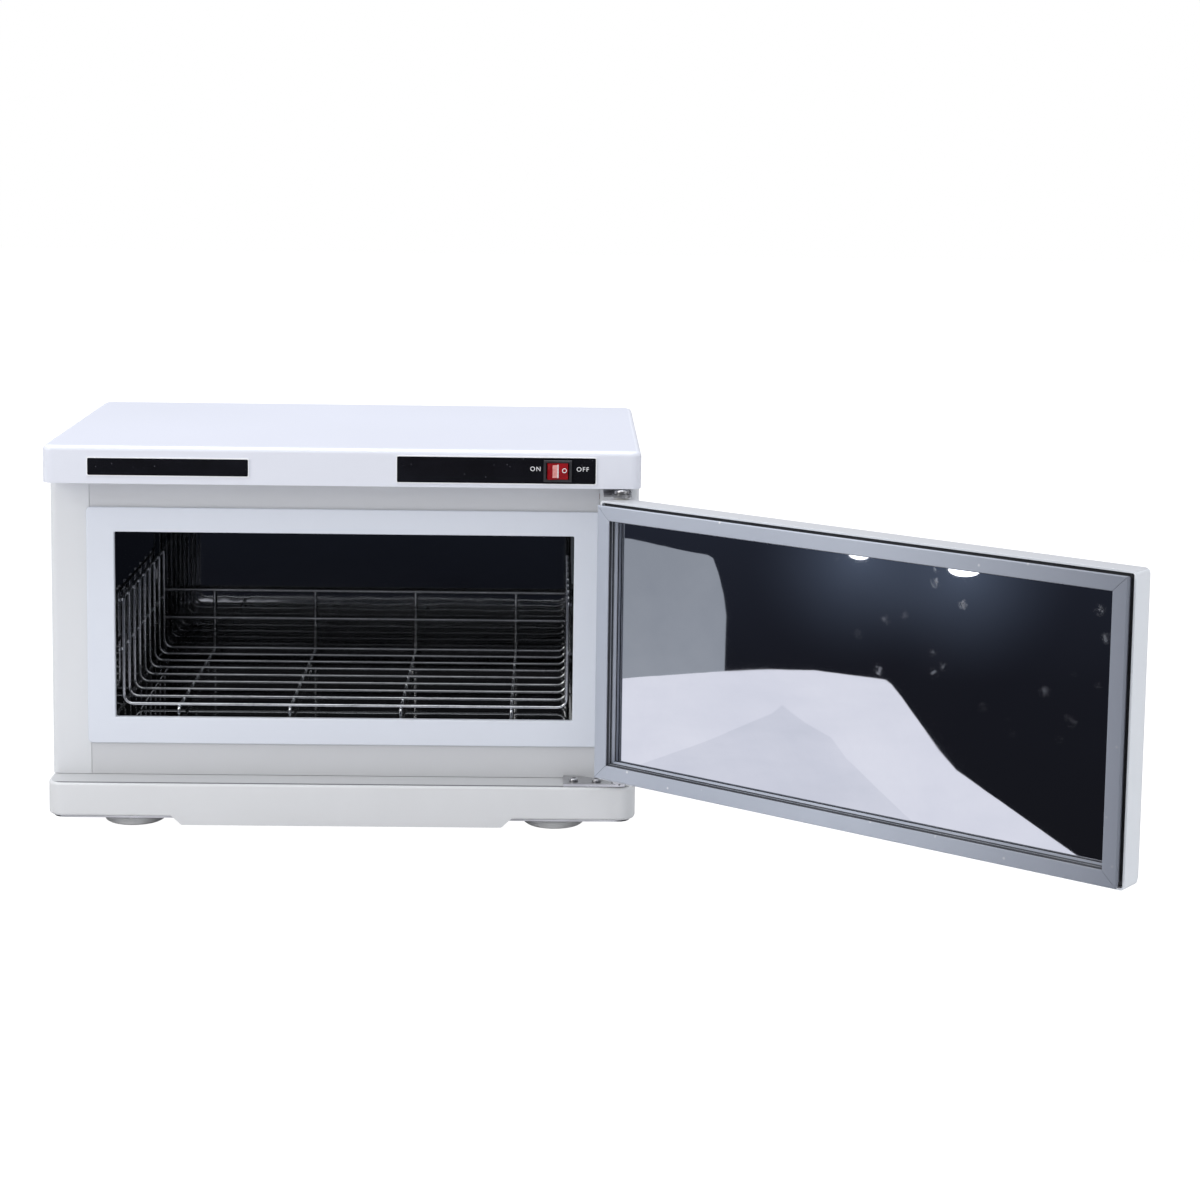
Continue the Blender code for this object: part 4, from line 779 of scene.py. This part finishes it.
# Where a CAD screw's head is, from its box: centre across its axis, and the seat under the head
def seatOf(node, axis, sign, height):
    low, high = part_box(node)
    place = (low + high) / 2
    place[axis] = (high[axis] if sign > 0 else low[axis]) - sign * height
    return place


def makeScrews(groups):
    for name, nodes, axis, sign, look, twists in groups:
        low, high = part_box(nodes[0])
        across = min(high[i] - low[i] for i in range(3) if i != axis) / 2
        scaled = dict(look, head=min(look["head"], across))
        shank = min(scaled["head"] * look["shankShare"], look["shankMost"])
        master = makeScrew(scaled, shank, high[axis] - low[axis] - look["height"])
        direction = [0, 0, 0]
        direction[axis] = sign
        for number, (node, twist) in enumerate(zip(nodes, twists), 1):
            placeScrew(master, node, f"{name}{number}", direction,
                       seatOf(node, axis, sign, look["height"]), twist, "cabinet")
        bpy.data.objects.remove(master)


makeScrews(screwGroups)
print("screws made")

# Fascia: white rims round the two plates, the generic words, the rocker's ring mark and its painted
# highlights

fasciaLook = {
    "front": -0.1411,        # plates' front face
    "nameLow": (-0.1901, -0.0218), "nameHigh": (-0.0702, -0.0092),
    "controlLow": (0.0416, -0.0247), "controlHigh": (0.1905, -0.0054),
    "rimWide": 0.0009, "rimGap": 0.0001, "rimCorner": 0.0014, "rimBack": -0.1399, "rimFront": -0.1410,
    "rimSoft": 0.00022, "rimSteps": 5,
    "letterHigh": 0.0035, "letterBase": -0.0152, "onCentre": 0.1453, "offCentre": 0.1808,
    "letterShare": 0.73,     # a capital's height, of the font's size
    "letterProud": 0.00006, "letterBold": 0.00002, "letterSpacing": 1.22,
}


def makeRim(name, low, high, look):
    gap, wide = look["rimGap"], look["rimWide"]
    centre = ((low[0] + high[0]) / 2, look["rimBack"], (low[1] + high[1]) / 2)
    bpy.ops.mesh.primitive_plane_add(size=1, location=centre, rotation=(math.radians(90), 0, 0))
    rim = bpy.context.object
    rim.name = name
    rim.scale = (high[0] - low[0] + 2 * (gap + wide), high[1] - low[1] + 2 * (gap + wide), 1)
    settle(rim)
    bpy.ops.object.mode_set(mode="EDIT")
    bpy.ops.mesh.select_all(action="SELECT")
    bpy.ops.mesh.bevel(offset=look["rimCorner"], segments=look["rimSteps"], affect="VERTICES")
    bpy.ops.mesh.select_all(action="SELECT")
    bpy.ops.mesh.inset(thickness=wide)
    bpy.ops.mesh.delete(type="FACE")
    bpy.ops.mesh.select_all(action="SELECT")
    bpy.ops.mesh.extrude_region_move(
        TRANSFORM_OT_translate={"value": (0, look["rimFront"] - look["rimBack"], 0)})
    bpy.ops.object.mode_set(mode="OBJECT")
    fixNormals(rim)
    freshen(rim, meshLook["smoothAngle"], look["rimSoft"])
    rim.data.materials.append(finish["rimWhite"])
    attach(rim, "cabinet")


def makeWord(name, word, centreX, look):
    bpy.ops.object.text_add(location=(centreX, look["front"], look["letterBase"]),
                            rotation=(math.radians(90), 0, 0))
    text = bpy.context.object
    text.name = name
    text.data.body = word
    text.data.align_x = "CENTER"
    text.data.size = look["letterHigh"] / look["letterShare"]
    text.data.offset = look["letterBold"]
    text.data.space_character = look["letterSpacing"]
    text.data.extrude = look["letterProud"]
    selectOnly(text)
    bpy.ops.object.convert(target="MESH")
    text = bpy.context.object
    settle(text)
    fixNormals(text)
    text.data.materials.clear()
    text.data.materials.append(finish["markAndGlintWhite"])
    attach(text, "cabinet")


makeRim("namePlateRim", fasciaLook["nameLow"], fasciaLook["nameHigh"], fasciaLook)
makeRim("controlPlateRim", fasciaLook["controlLow"], fasciaLook["controlHigh"], fasciaLook)
makeWord("wordOn", "ON", fasciaLook["onCentre"], fasciaLook)
makeWord("wordOff", "OFF", fasciaLook["offCentre"], fasciaLook)

rockerLook = {
    "pivot": (0.1620, -0.1398, -0.01505),
    "tilt": 10,
    "radius": 0.0083, "tip": 0.0046, "valley": 0.0032,
    "ringPlace": 0.0044, "ringRise": 0.0006, "ringRadius": 0.0015, "ringWire": 0.00030,
    "ringSteps": 40, "wireSteps": 8, "ringSmooth": 50,
    # the band is a painted sheen on the rocker's left half and the line a painted glint along its crease
    "bandPlace": -0.0026, "bandWide": 0.0042, "bandTall": 0.0096,
    "linePlace": -0.0004, "lineWide": 0.0009, "lineTall": 0.0102,
    "glintProud": 0.00010, "softShare": 0.8,
}


def rockerTip(look):
    return math.sqrt(look["radius"] ** 2 - look["tip"] ** 2)


# Height of the rocker's face above its pivot, towards the viewer, at a place along it
def rockerFace(along, look):
    return look["valley"] + (look["tip"] - look["valley"]) * abs(along) / rockerTip(look)


def makeRockerRingAndGlints(look):
    slope = math.atan2(look["tip"] - look["valley"], rockerTip(look))
    centre = (look["ringPlace"], -rockerFace(look["ringPlace"], look), look["ringRise"])
    bpy.ops.mesh.primitive_torus_add(major_segments=look["ringSteps"], minor_segments=look["wireSteps"],
                                     major_radius=look["ringRadius"], minor_radius=look["ringWire"],
                                     location=centre, rotation=(math.radians(90), 0, -slope))
    ring = bpy.context.object
    ring.name = "rockerRingMark"
    marks = [(ring, "markAndGlintWhite")]
    # the band and the line made next are painted highlights, not printed marks; the ring is a printed mark
    for name, key, proud, material in (("rockerGlintBand", "band", 1, "glintPink"),
                                       ("rockerGlintLine", "line", 2, "markAndGlintWhite")):
        along = look[key + "Place"]
        bpy.ops.mesh.primitive_cube_add(size=1, location=(along, -rockerFace(along, look), 0))
        bar = bpy.context.object
        bar.name = name
        bar.scale = (look[key + "Wide"], 2 * proud * look["glintProud"], look[key + "Tall"])
        bar.rotation_euler = (0, 0, slope)
        settle(bar)
        freshen(bar, meshLook["smoothAngle"], look["glintProud"] * look["softShare"])
        marks.append((bar, material))
    for overlay, material in marks:
        settle(overlay)
        if overlay is ring:
            bpy.ops.object.shade_smooth_by_angle(angle=math.radians(look["ringSmooth"]))
        overlay.rotation_euler = (0, 0, math.radians(look["tilt"]))
        overlay.location = look["pivot"]
        settle(overlay)
        overlay.data.materials.append(finish[material])
        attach(overlay, "rocker")


makeRockerRingAndGlints(rockerLook)
print("fascia made")

# Stage: pale floor, the white sheet and grey board that the door's panel mirrors, lamps

stageLook = {
    "floorZ": -0.2955,
    "floorWide": 14,
    "floorDrop": 0.0002,
    "floorColour": (0.72, 0.72, 0.73),
    "floorRough": 0.8,
    "floorShine": 0.1,
    "floorGlow": 1.3,
    "glowShare": 0.80,        # of what the camera sees of the floor
    "cardLift": 0.0004,
    "cardGrain": {"Grain": 300.0, "Drift": 5.0},
    "sheetTones": ((1.06, 1.065, 1.16), (0.99, 1.0, 1.10)),
    "flapTones": ((0.96, 0.97, 1.07), (0.86, 0.88, 0.98)),
    "boardTones": ((0.43, 0.46, 0.51), (0.37, 0.40, 0.45)),
    "sheetOutline": [     # seen from above, lying on the floor
        (-0.318, -0.298), (-0.325, -0.344), (-0.330, -0.403), (-0.330, -0.443), (-0.318, -0.488),
        (-0.266, -0.543), (-0.246, -0.542), (-0.180, -0.530), (-0.085, -0.511), (0.003, -0.494),
        (0.069, -0.484), (0.176, -0.482), (0.46, -0.478), (0.50, -0.42), (0.20, -0.15),
        (-0.235, -0.15), (-0.31, -0.22),
    ],
    "flapOutline": [
        (-0.065, -0.304), (-0.152, -0.391), (-0.181, -0.410), (-0.111, -0.410), (-0.057, -0.415),
        (0.017, -0.404), (0.195, -0.391), (0.36, -0.385), (0.30, -0.20), (0.05, -0.17),
    ],
    "boardFoot": (-0.3325, -0.401),
    "boardHeading": 106.9,    # degrees from the width axis
    "boardOutline": [     # along the board, height
        (0.160, -0.160), (0.094, -0.166), (0.045, -0.176), (0.020, -0.180), (0.015, -0.183),
        (0.010, -0.197), (0.004, -0.218), (0.001, -0.239), (0.001, -0.320), (0.160, -0.320),
    ],
}


def cardMaterial(name, tones):
    material = bpy.data.materials.new(name)
    material.use_nodes = True
    tree = material.node_tree
    tree.nodes.remove(tree.nodes["Principled BSDF"])
    coords = addNode(tree, "ShaderNodeTexCoord")
    grain = placedGroup(material, surfaceGrain, coords.outputs["Object"], stageLook["cardGrain"])
    glow = addNode(tree, "ShaderNodeEmission")
    light, dark = tones
    tree.links.new(mixColours(material, grain.outputs["Tone"], dark, light), glow.inputs["Color"])
    tree.links.new(glow.outputs[0], tree.nodes["Material Output"].inputs["Surface"])
    return material


# A card shows in reflections only
def setCard(card, name, material):
    card.name = name
    card.data.materials.append(material)
    card.visible_camera = False
    card.visible_shadow = False
    card.visible_diffuse = False


def outlineCard(name, points, material):
    bpy.ops.mesh.primitive_circle_add(vertices=len(points), fill_type="NGON")
    card = bpy.context.object
    for vertex, place in zip(card.data.vertices, points):
        vertex.co = place
    setCard(card, name, material)


def makeFloor(look):
    bpy.ops.mesh.primitive_plane_add(size=look["floorWide"],
                                     location=(0, 0, look["floorZ"] - look["floorDrop"]))
    floor = bpy.context.object
    floor.name = "paleFloor"
    floor.visible_glossy = False
    material = bpy.data.materials.new("paleFloor")
    material.use_nodes = True
    tree = material.node_tree
    shader = tree.nodes["Principled BSDF"]
    shader.inputs["Base Color"].default_value = (*look["floorColour"], 1)
    shader.inputs["Roughness"].default_value = look["floorRough"]
    shader.inputs["Specular IOR Level"].default_value = look["floorShine"]
    glow = addNode(tree, "ShaderNodeEmission", {"Color": (1, 1, 1, 1), "Strength": look["floorGlow"]})
    path = addNode(tree, "ShaderNodeLightPath")
    blend = addNode(tree, "ShaderNodeMixShader")
    tree.links.new(multiplied(tree, path.outputs["Is Camera Ray"], look["glowShare"]), blend.inputs[0])
    tree.links.new(shader.outputs[0], blend.inputs[1])
    tree.links.new(glow.outputs[0], blend.inputs[2])
    tree.links.new(blend.outputs[0], tree.nodes["Material Output"].inputs["Surface"])
    floor.data.materials.append(material)


def makeCards(look):
    sheetZ = look["floorZ"] + look["cardLift"]
    outlineCard("whiteSheet", [(x, y, sheetZ) for x, y in look["sheetOutline"]],
                cardMaterial("sheetPaper", look["sheetTones"]))
    outlineCard("sheetFlap", [(x, y, sheetZ + look["cardLift"]) for x, y in look["flapOutline"]],
                cardMaterial("flapPaper", look["flapTones"]))
    foot, heading = look["boardFoot"], math.radians(look["boardHeading"])
    along = (math.cos(heading), math.sin(heading))
    outlineCard("greyBoard", [(foot[0] + along[0] * reach, foot[1] + along[1] * reach, z)
                              for reach, z in look["boardOutline"]],
                cardMaterial("boardGrey", look["boardTones"]))


makeFloor(stageLook)
makeCards(stageLook)

lampLook = {
    "places": [(-0.553, -0.616, -0.2245), (-0.472, -0.705, -0.229)],
    "aims": [(0.3735, -0.282, -0.0505), (0.4395, -0.3345, -0.051)],    # points that they face
    "spots": [(0.0110, 0.0055), (0.0165, 0.0075)],     # half width and half height
    "spotTones": ((5.0, 5.1, 5.4), (4.0, 4.1, 4.4)),
    "haloRadius": 0.13,
    "haloBehind": 0.01,
    "haloColour": (0.55, 0.70, 1.0),
    "haloPower": 0.155,
    "sides": 48,
}


def makeLampCards(look):
    spotMaterial = cardMaterial("lampSpot", look["spotTones"])
    halo = bpy.data.materials.new("lampHalo")
    halo.use_nodes = True
    tree = halo.node_tree
    tree.nodes.remove(tree.nodes["Principled BSDF"])
    coords = addNode(tree, "ShaderNodeTexCoord")
    ball = addNode(tree, "ShaderNodeTexGradient", gradient_type="QUADRATIC_SPHERE")
    tree.links.new(coords.outputs["Object"], ball.inputs["Vector"])
    glow = addNode(tree, "ShaderNodeEmission", {"Color": (*look["haloColour"], 1)})
    tree.links.new(multiplied(tree, ball.outputs["Fac"], look["haloPower"]), glow.inputs["Strength"])
    clear = addNode(tree, "ShaderNodeBsdfTransparent")
    both = addNode(tree, "ShaderNodeAddShader")
    tree.links.new(glow.outputs[0], both.inputs[0])
    tree.links.new(clear.outputs[0], both.inputs[1])
    tree.links.new(both.outputs[0], tree.nodes["Material Output"].inputs["Surface"])
    haloSize = (look["haloRadius"], look["haloRadius"])
    for number, (place, aim, spot) in enumerate(zip(look["places"], look["aims"], look["spots"]), 1):
        centre = Vector(place)
        ray = (centre - Vector(aim)).normalized()
        for name, size, material, behind in (("lampSpot", spot, spotMaterial, 0.0),
                                             ("lampHalo", haloSize, halo, look["haloBehind"])):
            bpy.ops.mesh.primitive_circle_add(vertices=look["sides"], radius=1, fill_type="NGON",
                                              location=centre + ray * behind)
            card = bpy.context.object
            card.rotation_mode = "QUATERNION"
            card.rotation_quaternion = (-ray).to_track_quat("Z", "Y")
            card.scale = (*size, 1)
            setCard(card, f"{name}{number}", material)


makeLampCards(lampLook)

softLights = [   # name, place, aim, width, height, watts, colour
    ("overheadSoft", (-0.1, 0.1, 1.9), (0.05, 0.1, -0.1), 2.2, 1.8, 32, (0.93, 0.95, 1.0)),
    ("leftSoft", (-1.6, -1.5, 0.9), (0.1, -0.1, -0.15), 1.0, 1.2, 15, (1.0, 0.99, 0.97)),
    ("rightSoft", (2.4, -0.9, 0.5), (0.5, -0.4, -0.15), 0.8, 1.0, 5, (0.97, 0.99, 1.0)),
]
for name, place, aim, width, height, power, colour in softLights:
    bpy.ops.object.light_add(type="AREA", location=place)
    light = bpy.context.object
    light.name = name
    light.rotation_euler = (Vector(aim) - Vector(place)).to_track_quat("-Z", "Y").to_euler()
    light.data.shape = "RECTANGLE"
    light.data.size = width
    light.data.size_y = height
    light.data.energy = power
    light.data.color = colour

# The surroundings: white to the camera, a soft dome for shading, a dim room in reflections

domeLook = {
    "behind": (0.40, 0.41, 0.43),
    "behindFrom": (0.1, 0.5),      # Y of the direction seen, where the room behind takes over
    "shade": [(0.0, (0.42, 0.42, 0.42)), (0.5, (0.42, 0.42, 0.42)), (0.60, (0.46, 0.465, 0.47)),
              (1.0, (0.98, 1.0, 1.05))],
    "mirrored": [(0.0, (0.010, 0.009, 0.010)), (0.34, (0.011, 0.011, 0.013)), (0.39, (0.013, 0.014, 0.020)),
                 (0.42, (0.023, 0.027, 0.041)), (0.5, (0.020, 0.021, 0.024)), (0.62, (0.03, 0.031, 0.034)),
                 (0.78, (0.55, 0.56, 0.58)), (1.0, (0.90, 0.92, 0.95))],
}


def makeWorld(look):
    world = bpy.data.worlds.new("studioDome")
    bpy.context.scene.world = world
    world.use_nodes = True
    tree = world.node_tree
    background = tree.nodes["Background"]
    coords = addNode(tree, "ShaderNodeTexCoord")
    parts = addNode(tree, "ShaderNodeSeparateXYZ")
    tree.links.new(coords.outputs["Generated"], parts.inputs["Vector"])
    height = addNode(tree, "ShaderNodeMapRange", {"From Min": -1.0, "From Max": 1.0})
    tree.links.new(parts.outputs["Z"], height.inputs["Value"])
    ramps = {}
    for key in ("shade", "mirrored"):
        ramp = addNode(tree, "ShaderNodeValToRGB")
        stops = look[key]
        while len(ramp.color_ramp.elements) < len(stops):
            ramp.color_ramp.elements.new(0.5)
        for element, (place, colour) in zip(ramp.color_ramp.elements, stops):
            element.position = place
            element.color = (*colour, 1)
        tree.links.new(height.outputs["Result"], ramp.inputs["Fac"])
        ramps[key] = ramp.outputs["Color"]
    path = addNode(tree, "ShaderNodeLightPath")
    behind = addNode(tree, "ShaderNodeMix", {7: (*look["behind"], 1)}, data_type="RGBA")
    tree.links.new(stretched(tree, parts.outputs["Y"], *look["behindFrom"]), behind.inputs[0])
    tree.links.new(ramps["mirrored"], behind.inputs[6])
    glossy = addNode(tree, "ShaderNodeMix", data_type="RGBA")
    tree.links.new(path.outputs["Is Glossy Ray"], glossy.inputs[0])
    tree.links.new(ramps["shade"], glossy.inputs[6])
    tree.links.new(behind.outputs[2], glossy.inputs[7])
    seen = addNode(tree, "ShaderNodeMix", {7: (1, 1, 1, 1)}, data_type="RGBA")
    tree.links.new(path.outputs["Is Camera Ray"], seen.inputs[0])
    tree.links.new(glossy.outputs[2], seen.inputs[6])
    tree.links.new(seen.outputs[2], background.inputs["Color"])


makeWorld(domeLook)
print("stage lit")
